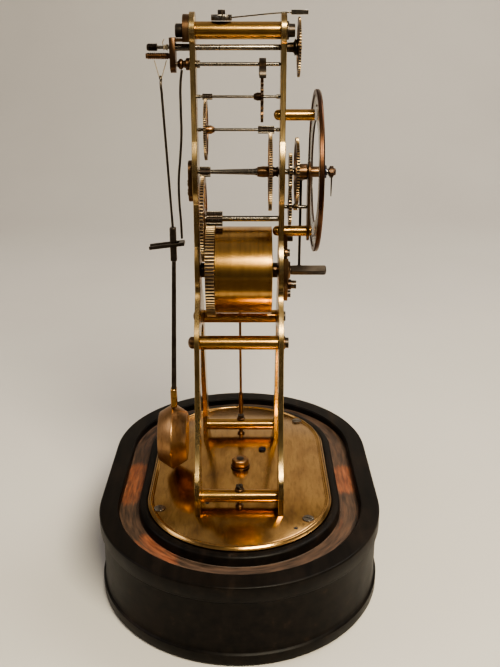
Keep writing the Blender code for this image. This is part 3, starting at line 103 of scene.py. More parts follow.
class Nodes:
    """A node tree with short calls for the nodes that the materials share."""

    def __init__(self, name):
        self.material = bpy.data.materials.new(name)
        self.material.use_nodes = True
        self.tree = self.material.node_tree
        self.shader = self.tree.nodes["Principled BSDF"]
        self.place = self.tree.nodes.new("ShaderNodeTexCoord").outputs["Object"]

    def link(self, source, target):
        self.tree.links.new(source, target)

    def noise(self, scale, detail=4.0, stretch=(1.0, 1.0, 1.0), roughness=0.55):
        mapping = self.tree.nodes.new("ShaderNodeMapping")
        mapping.inputs["Scale"].default_value = stretch
        self.link(self.place, mapping.inputs["Vector"])
        texture = self.tree.nodes.new("ShaderNodeTexNoise")
        texture.inputs["Scale"].default_value = scale
        texture.inputs["Detail"].default_value = detail
        texture.inputs["Roughness"].default_value = roughness
        self.link(mapping.outputs["Vector"], texture.inputs["Vector"])
        return texture.outputs["Fac"]

    def ramp(self, source, stops):
        """stops are (position, colour)."""
        node = self.tree.nodes.new("ShaderNodeValToRGB")
        elements = node.color_ramp.elements
        elements.remove(elements[1])
        elements[0].position = stops[0][0]
        elements[0].color = (*stops[0][1], 1.0)
        for position, colour in stops[1:]:
            elements.new(position).color = (*colour, 1.0)
        self.link(source, node.inputs["Fac"])
        return node.outputs["Color"]

    def span(self, source, start, end, low_value, high_value):
        node = self.tree.nodes.new("ShaderNodeMapRange")
        node.inputs["From Min"].default_value = start
        node.inputs["From Max"].default_value = end
        node.inputs["To Min"].default_value = low_value
        node.inputs["To Max"].default_value = high_value
        self.link(source, node.inputs["Value"])
        return node.outputs["Result"]

    def mix(self, factor, first, second):
        """Blends two colours. Each is an output, or a plain colour."""
        node = self.tree.nodes.new("ShaderNodeMix")
        node.data_type = "RGBA"
        self.link(factor, node.inputs["Factor"])
        for value, socket in ((first, node.inputs["A"]), (second, node.inputs["B"])):
            if isinstance(value, tuple):
                socket.default_value = (*value, 1.0)
            else:
                self.link(value, socket)
        return node.outputs["Result"]

    def bump(self, source, strength, depth, under=None):
        node = self.tree.nodes.new("ShaderNodeBump")
        node.inputs["Strength"].default_value = strength
        node.inputs["Distance"].default_value = depth * MM
        self.link(source, node.inputs["Height"])
        if under is not None:
            self.link(under, node.inputs["Normal"])
        return node.outputs["Normal"]

    def math(self, operation, first, second=0.0):
        node = self.tree.nodes.new("ShaderNodeMath")
        node.operation = operation
        for value, socket in ((first, node.inputs[0]), (second, node.inputs[1])):
            if isinstance(value, float):
                socket.default_value = value
            else:
                self.link(value, socket)
        return node.outputs["Value"]

    def along_oval(self, straight_half, stretch):
        """Coordinates for noise that is drawn out along an oval with straight sides of this half length."""
        split = self.tree.nodes.new("ShaderNodeSeparateXYZ")
        self.link(self.place, split.inputs["Vector"])
        x, y = split.outputs["X"], split.outputs["Y"]
        past = self.math("MAXIMUM", self.math("SUBTRACT", self.math("ABSOLUTE", x), straight_half * MM))
        squares = self.math("ADD", self.math("MULTIPLY", past, past), self.math("MULTIPLY", y, y))
        joined = self.tree.nodes.new("ShaderNodeCombineXYZ")
        self.link(self.math("SQRT", squares), joined.inputs["X"])
        self.link(self.math("MULTIPLY", x, 1.0 / stretch), joined.inputs["Y"])
        self.link(self.math("MULTIPLY", y, 1.0 / stretch), joined.inputs["Z"])
        return joined.outputs["Vector"]

    def nearness(self, spots, core):
        """One inside the core of any spot (place, reach), falling to zero at its reach."""
        near = None
        for place, reach in spots:
            away = self.tree.nodes.new("ShaderNodeVectorMath")
            away.operation = "DISTANCE"
            self.link(self.place, away.inputs[0])
            away.inputs[1].default_value = Vector(place) * MM
            spot = self.span(away.outputs["Value"], reach * core * MM, reach * MM, 1.0, 0.0)
            near = spot if near is None else self.math("MAXIMUM", near, spot)
        return near

    def finish(self, colour, roughness, normal, metallic):
        self.link(colour, self.shader.inputs["Base Color"])
        self.link(roughness, self.shader.inputs["Roughness"])
        self.link(normal, self.shader.inputs["Normal"])
        self.shader.inputs["Metallic"].default_value = metallic
        return self.material


def metal(name, bright, plain, dark, roughness, grain=(1.0, 1.0, 1.0), tarnish=0.62, polish=0.25):
    """Polished metal with patches of tarnish, dark specks, and fine marks drawn out along the grain."""
    made = Nodes(name)
    patches = made.noise(60.0, 6.0, tuple(0.35 + 0.65 * share for share in grain))
    colour = made.ramp(patches, [(0.30, plain), (0.46, bright), (tarnish, plain), (0.80, dark)])
    lines = made.noise(520.0, 3.0, grain)
    colour = made.mix(made.span(lines, 0.50, 0.72, 0.0, 0.40), colour, dark)
    specks = made.noise(900.0, 3.0)
    colour = made.mix(made.span(specks, 0.66, 0.74, 0.0, 0.35), colour, dark)
    marks = made.noise(1600.0, 2.0, grain)
    spread = made.span(patches, 0.3, 0.7, roughness * 0.75, roughness * 1.35)
    marked = made.math("ADD", made.math("MULTIPLY", marks, 0.12), spread)
    dents = made.bump(made.noise(140.0, 3.0), polish * 0.4, 0.10)
    return made.finish(colour, marked, made.bump(marks, polish, 0.012, dents), 1.0)


def ebonised(name):
    """Black stained wood under a worn satin polish, with a faint long grain and a little brown showing."""
    made = Nodes(name)
    grain = made.noise(160.0, 8.0, (0.12, 1.0, 1.0))
    cloud = made.noise(26.0, 5.0)
    stain = [(0.35, (0.003, 0.0022, 0.0018)), (0.62, (0.008, 0.0055, 0.004)), (0.80, (0.024, 0.014, 0.009))]
    colour = made.ramp(grain, stain)
    colour = made.mix(made.span(cloud, 0.54, 0.76, 0.0, 0.45), colour, (0.030, 0.019, 0.014))
    scuffs = made.noise(75.0, 9.0, (1.0, 1.0, 0.25), 0.7)
    colour = made.mix(made.span(scuffs, 0.66, 0.72, 0.0, 0.35), colour, (0.085, 0.060, 0.045))
    roughness = made.span(cloud, 0.3, 0.7, 0.36, 0.52)
    pores = made.bump(grain, 0.25, 0.15)
    made.shader.inputs["Specular IOR Level"].default_value = 0.13
    return made.finish(colour, roughness, made.bump(made.noise(34.0, 3.0), 0.20, 0.5, pores), 0.0)


def worn_groove(name, worn_spots):
    """The dome groove: dark dusty wood, rubbed through to red-brown round the worn spots (place, reach)."""
    made = Nodes(name)
    spots = made.nearness(worn_spots, 0.35)
    made.place = made.along_oval(STRAIGHT_HALF, 9.0)
    grain = made.noise(700.0, 6.0)
    patches = made.noise(190.0, 9.0, roughness=0.72)
    stain = made.ramp(grain, [(0.34, (0.026, 0.015, 0.009)), (0.66, (0.10, 0.055, 0.034))])
    bare = made.ramp(grain, [(0.34, (0.13, 0.038, 0.016)), (0.66, (0.30, 0.10, 0.042))])
    brown = made.mix(made.span(patches, 0.54, 0.76, 0.0, 0.16), stain, bare)
    rubbed = made.math("ADD", made.math("MULTIPLY", spots, 0.32), patches)
    colour = made.mix(made.span(rubbed, 0.64, 0.86, 0.0, 0.95), brown, bare)
    roughness = made.span(grain, 0.3, 0.7, 0.55, 0.80)
    return made.finish(colour, roughness, made.bump(grain, 0.5, 0.25), 0.0)


def enamel(name, colour, worn):
    """Glossy fired enamel or paint with a faint orange-peel surface."""
    made = Nodes(name)
    mixed = made.ramp(made.noise(38.0, 5.0), [(0.35, colour), (0.75, worn)])
    roughness = made.span(made.noise(220.0), 0.3, 0.7, 0.12, 0.26)
    return made.finish(mixed, roughness, made.bump(made.noise(420.0, 2.0), 0.08, 0.05), 0.0)


def twisted_thread(name):
    made = Nodes(name)
    fibres = made.noise(2600.0, 3.0, (1.0, 1.0, 0.35))
    colour = made.ramp(fibres, [(0.3, (0.10, 0.075, 0.05)), (0.7, (0.36, 0.29, 0.20))])
    roughness = made.span(fibres, 0.3, 0.7, 0.75, 0.95)
    return made.finish(colour, roughness, made.bump(fibres, 0.8, 0.08), 0.0)


def dirt_and_painted_shade(name):
    """Near-black for gaps and dark openings: partly old oil and dust, partly painted shade."""
    made = Nodes(name)
    lumps = made.noise(700.0, 4.0)
    colour = made.ramp(lumps, [(0.35, (0.018, 0.010, 0.006)), (0.70, (0.060, 0.032, 0.018))])
    return made.finish(colour, made.span(lumps, 0.3, 0.7, 0.5, 0.8), made.bump(lumps, 0.4, 0.05), 0.3)


ALONG_Y = (1.0, 0.05, 1.0)
ALONG_Z = (1.0, 1.0, 0.05)
ALONG_X = (0.2, 1.0, 1.0)
ROUND_Y = (0.35, 1.0, 0.35)
AROUND_Y = (0.05, 1.0, 0.05)

# Each metal has its bright, plain and dark colour, and its roughness, grain, tarnish and polish.
PLATE_BRASS = metal(
    "plate_brass", (0.47, 0.335, 0.165), (0.36, 0.245, 0.11), (0.12, 0.068, 0.033), 0.19, ALONG_Z
)
TURNED_BRASS = metal(
    "turned_brass", (0.52, 0.305, 0.105), (0.40, 0.225, 0.073), (0.15, 0.072, 0.030),
    0.18, ALONG_Y, 0.68, 0.08
)
BARREL_BRASS = metal(
    "barrel_brass", (0.56, 0.32, 0.105), (0.46, 0.255, 0.082), (0.21, 0.105, 0.04), 0.14, AROUND_Y, 0.66
)
SATIN_BRASS = metal(
    "satin_brass", (0.43, 0.245, 0.115), (0.33, 0.18, 0.082), (0.13, 0.07, 0.034), 0.32, ROUND_Y
)
WHEEL_BRASS = metal(
    "wheel_brass", (0.25, 0.145, 0.070), (0.165, 0.092, 0.046), (0.065, 0.035, 0.022), 0.24, ROUND_Y, 0.56
)
# Bright brass for tooth tips: a painted highlight against the dark gaps.
TIP_HIGHLIGHT_BRASS = metal(
    "tooth_tip_painted_highlight_brass", (0.60, 0.44, 0.25), (0.44, 0.30, 0.16), (0.18, 0.105, 0.06), 0.30, ROUND_Y
)
BROWN_BRASS = metal(
    "brown_brass", (0.20, 0.115, 0.058), (0.125, 0.070, 0.038), (0.05, 0.028, 0.017), 0.27, ROUND_Y, 0.56
)
DARK_BRASS = metal(
    "dark_brass", (0.085, 0.052, 0.034), (0.055, 0.034, 0.023), (0.025, 0.015, 0.010), 0.34, ROUND_Y
)
MIRROR_BRASS = metal(
    "mirror_brass", (0.50, 0.30, 0.115), (0.39, 0.225, 0.085), (0.15, 0.078, 0.036), 0.13, ALONG_X, 0.60, 0.12
)
BEZEL_BRASS = metal(
    "bezel_brass", (0.125, 0.060, 0.032), (0.085, 0.041, 0.023), (0.040, 0.020, 0.012), 0.24, AROUND_Y, 0.56
)
STEEL = metal(
    "polished_steel", (0.22, 0.195, 0.165), (0.165, 0.142, 0.118), (0.07, 0.052, 0.038),
    0.18, AROUND_Y, 0.70, 0.08
)
DARK_STEEL = metal(
    "dark_steel", (0.105, 0.085, 0.068), (0.062, 0.047, 0.037), (0.026, 0.018, 0.013), 0.30, ALONG_Y
)
BLUED_STEEL = metal(
    "blued_steel_finish", (0.045, 0.050, 0.085), (0.028, 0.030, 0.045), (0.030, 0.020, 0.015), 0.24, ALONG_Z
)
BLACK_WOOD = ebonised("ebonised_wood_finish")
DIAL_ENAMEL = enamel("dial_enamel", (0.86, 0.82, 0.72), (0.76, 0.70, 0.58))
# Black enamel for the dial's print, also used as painted shade for the platform's pin holes.
BLACK_ENAMEL_AND_HOLE_SHADE = enamel("black_enamel_and_hole_shade", (0.012, 0.012, 0.014), (0.030, 0.028, 0.026))
COUNTER_ENAMEL = enamel("counter_enamel", (0.46, 0.42, 0.34), (0.36, 0.31, 0.24))
THREAD = twisted_thread("silk_thread")
# Near-black for tooth gaps, the dial's inner wall and screw slots: partly dirt, partly painted shade.
DIRT_AND_SHADE = dirt_and_painted_shade("dirt_and_painted_shade_in_gaps")

# The worn spots on the straight sides are (x, side, outwards, reach), and on the left end (x share, y share,
# reach).
SPOT_HEIGHT = GROOVE_FLOOR + 0.5
STRAIGHT_SPOTS = (
    (-27.0, 1, 1.5, 17.0), (-15.0, 1, 0.0, 18.0), (-3.0, 1, -1.0, 18.0), (9.0, 1, 0.0, 15.0),
    (-14.0, -1, 1.0, 14.0), (-4.0, -1, 0.0, 16.0), (7.0, -1, -1.0, 15.0),
)
END_SPOTS = ((0.60, 0.80, 15.0), (0.70, 0.71, 17.0), (0.79, 0.60, 14.0))
GROOVE_WOOD = worn_groove("worn_groove_wood", [
    *(((x, side * GROOVE_MIDDLE + out, SPOT_HEIGHT), reach) for x, side, out, reach in STRAIGHT_SPOTS),
    *(
        ((-STRAIGHT_HALF - x * GROOVE_MIDDLE, y * GROOVE_MIDDLE, SPOT_HEIGHT), reach)
        for x, y, reach in END_SPOTS
    ),
])

# ---------------------------------------------------------------- making pieces


def piece(name, data, material, body, *nodes):
    """A finished object that rides on a body and stands for any nodes that are named."""
    made = bpy.data.objects.new(name, data)
    bpy.context.scene.collection.objects.link(made)
    data.materials.clear()
    data.materials.append(material)
    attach(made, body)
    if nodes:
        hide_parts(*nodes)
    return made


def vertex(work, x, y, z):
    return work.verts.new((x * MM, y * MM, z * MM))


def meshed(build, chamfer=0.0):
    """The mesh that build makes: closed, facing out, with its sharp edges taken off by the chamfer."""
    work = bmesh.new()
    build(work)
    bmesh.ops.remove_doubles(work, verts=work.verts, dist=1e-7)
    bmesh.ops.recalc_face_normals(work, faces=work.faces)
    if chamfer:
        sharp = [edge for edge in work.edges if edge.is_manifold and edge.calc_face_angle() > SHARP]
        bmesh.ops.bevel(work, geom=sharp, offset=chamfer * MM, segments=1, affect="EDGES", clamp_overlap=True)
    mesh = bpy.data.meshes.new("finished")
    work.to_mesh(mesh)
    work.free()
    mesh.shade_smooth()
    mesh.set_sharp_from_angle(angle=SHARP)
    return mesh


def skinned(work, rings, capped=False):
    """Faces between neighbouring rings, and over the end rings if capped. A ring of one point is a tip."""
    for near, far in zip(rings, rings[1:]):
        count = max(len(near), len(far))
        for step in range(count):
            after = (step + 1) % count
            order = ((near, step), (near, after), (far, after), (far, step))
            corners = tuple(ring[index % len(ring)] for ring, index in order)
            work.faces.new(list(dict.fromkeys(corners)))
    if capped:
        work.faces.new(rings[0])
        work.faces.new(rings[-1])


def turned(profile, x=0.0, z=0.0, along="Y", y=0.0, steps=64, chamfer=0.12, half_straight=0.0):
    """A turned shape. profile is (radius, place along the axis), the place counted from the world's origin.

    half_straight pulls the two halves apart along X, which gives an oval."""

    def ring(work, radius, place):
        if radius == 0 and not half_straight:
            return [vertex(work, x, place, z) if along == "Y" else vertex(work, x, y, place)]
        points = []
        for step in range(steps):
            angle = math.pi * (2 * step + 1) / steps
            across, up = max(radius, 0.01) * math.cos(angle), max(radius, 0.01) * math.sin(angle)
            across += math.copysign(half_straight, across)
            spot = (x + across, place, z + up) if along == "Y" else (x + across, y + up, place)
            points.append(vertex(work, *spot))
        return points

    def build(work):
        rings = [ring(work, radius, place) for radius, place in profile]
        if profile[0][0] > 0:
            rings.append(rings[0])
        skinned(work, rings)

    return meshed(build, chamfer)


def stepped(start, *sections):
    """The profile of a shaft. A section is (radius, its end), with the radius there as well if it tapers."""
    profile = [(0.0, start)]
    for radius, end, *end_radius in sections:
        if radius != profile[-1][0]:
            profile.append((radius, profile[-1][1]))
        profile.append((end_radius[0] if end_radius else radius, end))
    return [*profile, (0.0, profile[-1][1])]


def dome(radius, start, height):
    """The side of a dome, from its edge almost to its top."""
    angles = [math.radians(degrees) for degrees in range(0, 90, 15)]
    return [(radius * math.cos(angle), start + height * math.sin(angle)) for angle in angles]


def polar(radius, degrees, centre=(0.0, 0.0)):
    """A point at an angle counter-clockwise from +X as seen from the front."""
    angle = math.radians(degrees)
    return (centre[0] + radius * math.cos(angle), centre[1] + radius * math.sin(angle))


def arc(radius, start, end, steps, centre=(0.0, 0.0)):
    return [polar(radius, start + (end - start) * step / steps, centre) for step in range(steps + 1)]


def circle(radius, steps=32, centre=(0.0, 0.0)):
    return arc(radius, 0.0, 360.0, steps, centre)[:-1]


def signed_area(loop):
    return sum(a[0] * b[1] - b[0] * a[1] for a, b in zip(loop, loop[1:] + loop[:1])) / 2


def drawn_in(loop, distance):
    """The loop moved towards its own left-hand side, with each corner kept a corner."""
    moved = []
    for before, here, after in zip(loop[-1:] + loop[:-1], loop, loop[1:] + loop[:1]):
        first = (Vector(here) - Vector(before)).normalized()
        second = (Vector(after) - Vector(here)).normalized()
        left = Vector((-first.y - second.y, first.x + second.x))
        scale = max(1.0 + first.dot(second), 0.4)
        moved.append((here[0] + left.x * distance / scale, here[1] + left.y * distance / scale))
    return moved


def teeth_shade_and_highlight(mesh, radius, z, inner_share=0.86, tip=TIP_HIGHLIGHT_BRASS):
    """Puts dirt and painted shade on the flanks and roots of teeth inside a radius, and the tip material on
    the tips, which is a painted highlight when it is the bright tip brass.
    """
    mesh.materials.append(DIRT_AND_SHADE)
    mesh.materials.append(tip)
    for face in mesh.polygons:
        away = math.hypot(face.center.x / MM, face.center.z / MM - z)
        if abs(face.normal.y) < 0.3 and away > radius * inner_share:
            # Flanks and roots take dirt and painted shade; tips take the tip material, a painted highlight.
            face.material_index = 1 if away < radius else 2


def cut_sheet(loops, layer, chamfer=0.2, x=0.0, z=0.0):
    """A flat piece across Y. The first loop is its outline and the others are holes, in X and Z."""
    outline = loops[0] if signed_area(loops[0]) > 0 else loops[0][::-1]
    holes = [loop if signed_area(loop) < 0 else loop[::-1] for loop in loops[1:]]
    near, far = layer
    levels = [(near, chamfer), (near + chamfer, 0.0), (far - chamfer, 0.0), (far, chamfer)]

    def build(work):
        caps = [[], []]
        for loop in [outline, *holes]:
            rings = []
            for place, distance in levels:
                points = drawn_in(loop, distance) if distance else loop
                rings.append([vertex(work, x + across, place, z + up) for across, up in points])
            skinned(work, rings)
            for cap, ring in zip(caps, (rings[0], rings[-1])):
                cap += [work.edges.get((a, b)) for a, b in zip(ring, ring[1:] + ring[:1])]
        for cap in caps:
            bmesh.ops.triangle_fill(work, edges=cap, use_beauty=True, normal=(0.0, -1.0, 0.0))

    return meshed(build)


def rod(name, points, radius, material, body, *nodes, corners=(), resolution=6):
    """A round wire on a smooth curve through the points, bent sharply at the numbered corners."""
    curve = bpy.data.curves.new(name, "CURVE")
    curve.dimensions = "3D"
    curve.bevel_depth = radius * MM
    curve.bevel_resolution = 5
    curve.use_fill_caps = True
    curve.resolution_u = resolution
    spline = curve.splines.new("BEZIER")
    spline.bezier_points.add(len(points) - 1)
    for number, (knot, point) in enumerate(zip(spline.bezier_points, points)):
        knot.co = Vector(point) * MM
        knot.handle_left_type = knot.handle_right_type = "VECTOR" if number in corners else "AUTO"
    holder = bpy.data.objects.new(name, curve)
    bpy.context.scene.collection.objects.link(holder)
    drawn = bpy.data.meshes.new_from_object(holder.evaluated_get(bpy.context.evaluated_depsgraph_get()))
    bpy.data.objects.remove(holder)
    bpy.data.curves.remove(curve)
    mesh = meshed(lambda work: work.from_mesh(drawn))
    bpy.data.meshes.remove(drawn)
    return piece(name, mesh, material, body, *nodes)


def softened(node, material, body, chamfer=0.25):
    """A finer copy of a CAD node, with its sharp edges taken off."""

    def build(work):
        work.from_mesh(frame["nodes"][node].data)
        bmesh.ops.remove_doubles(work, verts=work.verts, dist=1e-6)
        flat = [edge for edge in work.edges if edge.is_manifold and edge.calc_face_angle() < 0.01]
        bmesh.ops.dissolve_edges(work, edges=flat, use_verts=False)

    return piece(f"{node}_finished", meshed(build, chamfer), material, body, node)


def block(low_corner, high_corner, chamfer=0.2):
    size = Vector(high_corner) - Vector(low_corner)
    centre = (Vector(high_corner) + Vector(low_corner)) / 2

    def build(work):
        bmesh.ops.create_cube(work, size=1.0)
        bmesh.ops.scale(work, vec=size * MM, verts=work.verts)
        bmesh.ops.translate(work, vec=centre * MM, verts=work.verts)

    return meshed(build, chamfer)


def raise_block(work, outline, bottom, top, slot=0):
    """A straight-sided block with this outline in X and Y, in a material slot."""
    rings = [[vertex(work, across, deep, level) for across, deep in outline] for level in (bottom, top)]
    skinned(work, rings, capped=True)
    for point in (*rings[0], *rings[1]):
        for face in point.link_faces:
            face.material_index = slot


def screw(name, place, towards, radius, height, body, material=DARK_STEEL, spin=0.4):
    """A slotted head that stands on a place, with the floor of its slot coloured near-black."""
    steps = 40
    half_slot, slot_depth = radius * 0.14, height * 0.55
    angles = [360.0 * (step + 0.5) / steps for step in range(steps)]
    edge = math.sqrt(radius**2 - half_slot**2)

    def build(work):
        side = [polar(radius, degrees) for degrees in angles]
        for sign in (1, -1):
            rounded = [(across, sign * deep) for across, deep in side if deep > half_slot]
            raise_block(work, [(edge, sign * half_slot), *rounded, (-edge, sign * half_slot)], 0.0, height)
        raise_block(work, [polar(radius * 0.999, degrees) for degrees in angles], 0.0, height - slot_depth, 1)
        turn = Vector(towards).to_track_quat("Z", "Y").to_matrix().to_4x4()
        work.transform(Matrix.Translation(Vector(place) * MM) @ turn @ Matrix.Rotation(spin, 4, "Z"))

    mesh = meshed(build, 0.08)
    piece(name, mesh, material, body)
    # The slot's floor takes the near-black gap colour.
    mesh.materials.append(DIRT_AND_SHADE)


# ---------------------------------------------------------------- base and platform


def make_base():
    """The oval ebonised base: low band, waist, top moulding, dome groove and the ring round the platform."""
    rim_top, soft, band_top = 57.0, 1.3, 9.0
    seat, groove_inner, groove_outer = PLATFORM_RADIUS + 0.4, PLATFORM_RADIUS + 6.0, PLATFORM_RADIUS + 19.0
    ring_top, recess = high("wood_base").z, low("platform_plate").z - 0.3
    radius, waist = BASE_RADIUS, BASE_RADIUS - 1.5
    profile = [
        (0.0, recess),
        (seat, recess), (seat, ring_top - 0.5), (seat + 0.4, ring_top - 0.1), (seat + 1.2, ring_top),
        (groove_inner - 1.9, ring_top - 0.1), (groove_inner - 0.9, ring_top - 0.6),
        (groove_inner - 0.3, ring_top - 1.5),
        (groove_inner, GROOVE_FLOOR + 0.4), (groove_inner + 0.4, GROOVE_FLOOR),
        (groove_outer - 0.4, GROOVE_FLOOR), (groove_outer, GROOVE_FLOOR + 0.4),
        (groove_outer + 0.1, rim_top - 0.9), (groove_outer + 0.9, rim_top),
        *(polar(soft, degrees, (radius - soft, rim_top - soft)) for degrees in (90, 70, 50, 30, 10, 0)),
        (radius, rim_top - 10.2), (radius - 0.5, rim_top - 11.0), (waist, rim_top - 11.5),
        (waist - 0.3, rim_top - 14.0),
        (waist - 0.3, band_top + 3.0), (waist, band_top + 1.0), (waist + 0.2, band_top + 0.4),
        (radius - 0.6, band_top),
        (radius, band_top - 0.7), (radius, 2.0), (radius - 0.7, 0.6), (radius - 1.6, 0.0),
        (0.0, 0.0),
    ]
    mesh = turned(profile, along="Z", steps=144, chamfer=0.0, half_straight=STRAIGHT_HALF)
    piece("base_turned_wood", mesh, BLACK_WOOD, "frame", "wood_base")
    mesh.materials.append(GROOVE_WOOD)
    for face in mesh.polygons:
        above_floor = face.center.z / MM - GROOVE_FLOOR
        face.material_index = 1 if -1.0 < above_floor < 3.0 and face.normal.z > 0.3 else 0


def make_platform():
    """The oval plate with a fine groove and a bead inside its edge."""
    top, radius = PLATFORM_TOP, PLATFORM_RADIUS
    profile = [
        (0.0, top),
        (radius - 4.4, top), (radius - 4.0, top - 0.25), (radius - 3.6, top),
        *arc(0.9, 165.0, 15.0, 6, (radius - 2.1, top - 0.2)),
        (radius - 0.7, top - 0.4), (radius, top - 0.9), (radius, low("platform_plate").z),
        (0.0, low("platform_plate").z),
    ]
    mesh = turned(profile, along="Z", steps=144, chamfer=0.0, half_straight=STRAIGHT_HALF)
    piece("platform_finished", mesh, MIRROR_BRASS, "frame", "platform_plate")


def make_platform_screws():
    """Four countersunk wood screws, a small blued screw, and black discs as painted shade for two pin holes.
    """
    across, deep, up = 68.0, 44.0, (0.0, 0.0, 1.0)
    level = PLATFORM_TOP + 0.02
    head, sink = 3.5, 4.0
    corners = (
        (-0.79 * across, 1.18 * deep), (-0.96 * across, -deep),
        (1.04 * across, -deep), (0.89 * across, 1.07 * deep),
    )
    for number, (x, y) in enumerate(corners):
        screw(f"platform_screw_{number}", (x, y, level), up, head, 0.5, "frame", STEEL, 0.7 * number + 0.5)
        ring = [(head + 0.05, level - 0.01), (head + 0.05, level + 0.14), (sink, level - 0.01)]
        mesh = turned(ring, x, along="Z", y=y, steps=40, chamfer=0.0)
        piece(f"platform_countersink_{number}", mesh, BROWN_BRASS, "frame")
    screw("platform_adjusting_screw", (24.2, -16.0, level), up, 2.6, 1.3, "frame", BLUED_STEEL, 1.1)
    # Black discs stand on the plate as painted shade for two pin holes; the plate has no holes.
    for number, (x, y) in enumerate(((-75.7, -35.6), (-47.0, 21.2))):
        top, edge, under = PLATFORM_TOP + 0.03, PLATFORM_TOP + 0.01, PLATFORM_TOP + 0.005
        disc = [(0.0, top), (1.15, top), (1.4, edge), (0.0, under)]
        mesh = turned(disc, x, along="Z", y=y, steps=32, chamfer=0.0)
        piece(f"platform_pin_hole_shade_{number}", mesh, BLACK_ENAMEL_AND_HOLE_SHADE, "frame")


def make_platform_nut():
    """The hexagonal nut on its washer, and the stud's threaded end in it."""
    bottom, top = low("platform_nut").z, high("platform_nut").z
    flats = (high("platform_nut").x - low("platform_nut").x) / 2
    washer_top = bottom + 0.8

    def hexagon(work):
        raise_block(work, arc(flats * 1.155, 30.0, 330.0, 5), washer_top, top)

    piece("platform_hex_nut", meshed(hexagon, 0.6), SATIN_BRASS, "frame", "platform_nut")
    washer = turned(stepped(bottom, (flats + 1.4, washer_top)), along="Z")
    piece("platform_washer", washer, BROWN_BRASS, "frame")
    radius, end, pitch = high("platform_stud").x, top + 0.5, 0.5
    root = radius - 0.3
    thread = [(0.0, end), (radius - 0.6, end)]
    for turn in range(3):
        thread += [(radius, end - pitch * (turn + 0.5)), (root, end - pitch * (turn + 1))]
    thread += [(root, bottom), (0.0, bottom)]
    mesh = turned(thread, along="Z", chamfer=0.0)
    piece("platform_threaded_stud", mesh, DARK_STEEL, "frame", "platform_stud")


# ---------------------------------------------------------------- plates and pillars


def bezier(start, pull, push, end, steps):
    """Points after the start along a cubic curve."""
    points = []
    for step in range(1, steps + 1):
        t = step / steps
        s = 1.0 - t
        weights = (s**3, 3 * s * s * t, 3 * s * t * t, t**3)
        points.append(tuple(sum(w * p[k] for w, p in zip(weights, (start, pull, push, end))) for k in (0, 1)))
    return points


def swell(half_width, radius, low_degrees, z):
    """A gentle bulge of a plate's side, from the stem's width out to half_width and back in."""
    inset = half_width - radius
    start = math.degrees(math.acos((STEM_HALF_WIDTH - inset) / radius))
    return arc(radius, start, -low_degrees if low_degrees else -start, 24, (inset, z))


def plate_outline(barrel_half_width):
    """The plate's edge in X and Z: a lobe, a stem that swells at the train and the barrel, and two legs."""
    lobe, foot_half, foot_top, arch_top = 10.3, 12.0, 79.5, 166.5
    lobe_side = math.degrees(math.acos(STEM_HALF_WIDTH / lobe))
    foot_out, foot_in, foot_low = FOOT_X + foot_half, FOOT_X - foot_half, low("front_plate").z
    ear, crotch = (33.0, 165.0), (17.0, 157.0)
    edge = arc(lobe, 90.0, -lobe_side, 18, (0.0, TOP_PILLAR_Z))
    edge += swell(12.5, 41.0, None, CENTRE_Z)
    edge += swell(barrel_half_width, 31.5, 14.0, BARREL_Z)
    edge += bezier(edge[-1], (edge[-1][0] - 2.0, 188.0), (31.0, 180.0), ear, 20)
    edge += bezier(ear, (35.5, 145.0), (42.0, 104.0), (foot_out - 2.0, 84.0), 24)
    edge += [(foot_out, foot_top), (foot_out, foot_low), (foot_in, foot_low), (foot_in, foot_top)]
    edge += bezier(edge[-1], (37.0, 98.0), (20.0, 128.0), crotch, 24)
    edge += bezier(crotch, (14.5, 164.0), (7.0, arch_top), (0.0, arch_top), 12)
    return edge + [(-across, up) for across, up in reversed(edge[1:-1])]


def make_plate(node, barrel_half_width, small_holes):
    """A plate with its pivot and screw holes, given as (height, radius) on the middle line."""
    holes = [(TOP_PILLAR_Z, 2.9), (RATING_Z, 2.0), (ESCAPE_Z, 0.75), (FOURTH_Z, 0.85), (CENTRE_Z, 1.9)]
    holes += [(INTERMEDIATE_Z, 1.4), (BARREL_Z, 3.3), *small_holes]
    loops = [plate_outline(barrel_half_width)]
    loops += [circle(radius, 24, (0.0, z)) for z, radius in holes]
    for side in (-1, 1):
        places = ((MID_PILLAR_X, MID_PILLAR_Z), (FOOT_X, FOOT_PILLAR_Z))
        loops += [circle(2.1, 24, (side * x, z)) for x, z in places]
    layer = (low(node).y, high(node).y)
    piece(f"{node}_finished", cut_sheet(loops, layer, 0.25), PLATE_BRASS, "frame", node)


def pillar(node, radius, tenon, ends=()):
    """A plain turned pillar between the plates, with its tenons. ends are the front and rear tenon ends."""
    gap = 0.05
    front, rear = ends or (low(node).y, high(node).y)
    profile = stepped(front, (tenon, FRONT_IN + gap), (radius, REAR_IN - gap), (tenon, rear))
    mesh = turned(profile, middle(node).x, middle(node).z, chamfer=0.3)
    piece(f"{node}_turned", mesh, TURNED_BRASS, "frame", node)


def make_mid_fastenings(side):
    """The washer and screw at a mid pillar's front end, and the domed nut at its rear."""
    x, z = middle(f"{side}_mid_pillar").x, middle(f"{side}_mid_pillar").z
    face, radius, height = REAR_OUT + 0.05, 3.9, 4.2
    crown = dome(radius, face + height * 0.45, height * 0.55)
    profile = [(0.0, face), (radius, face), *crown, (0.0, face + height)]
    piece(f"{side}_cap_nut", turned(profile, x, z, steps=40, chamfer=0.0), BROWN_BRASS, "frame")
    washer = stepped(FRONT_OUT - 0.05, (4.3, FRONT_OUT - 0.9))
    piece(f"{side}_mid_washer", turned(washer, x, z, steps=40), BROWN_BRASS, "frame")
    screw(f"{side}_mid_screw", (x, FRONT_OUT - 0.95, z), (0, -1, 0), 3.4, 2.2, "frame")


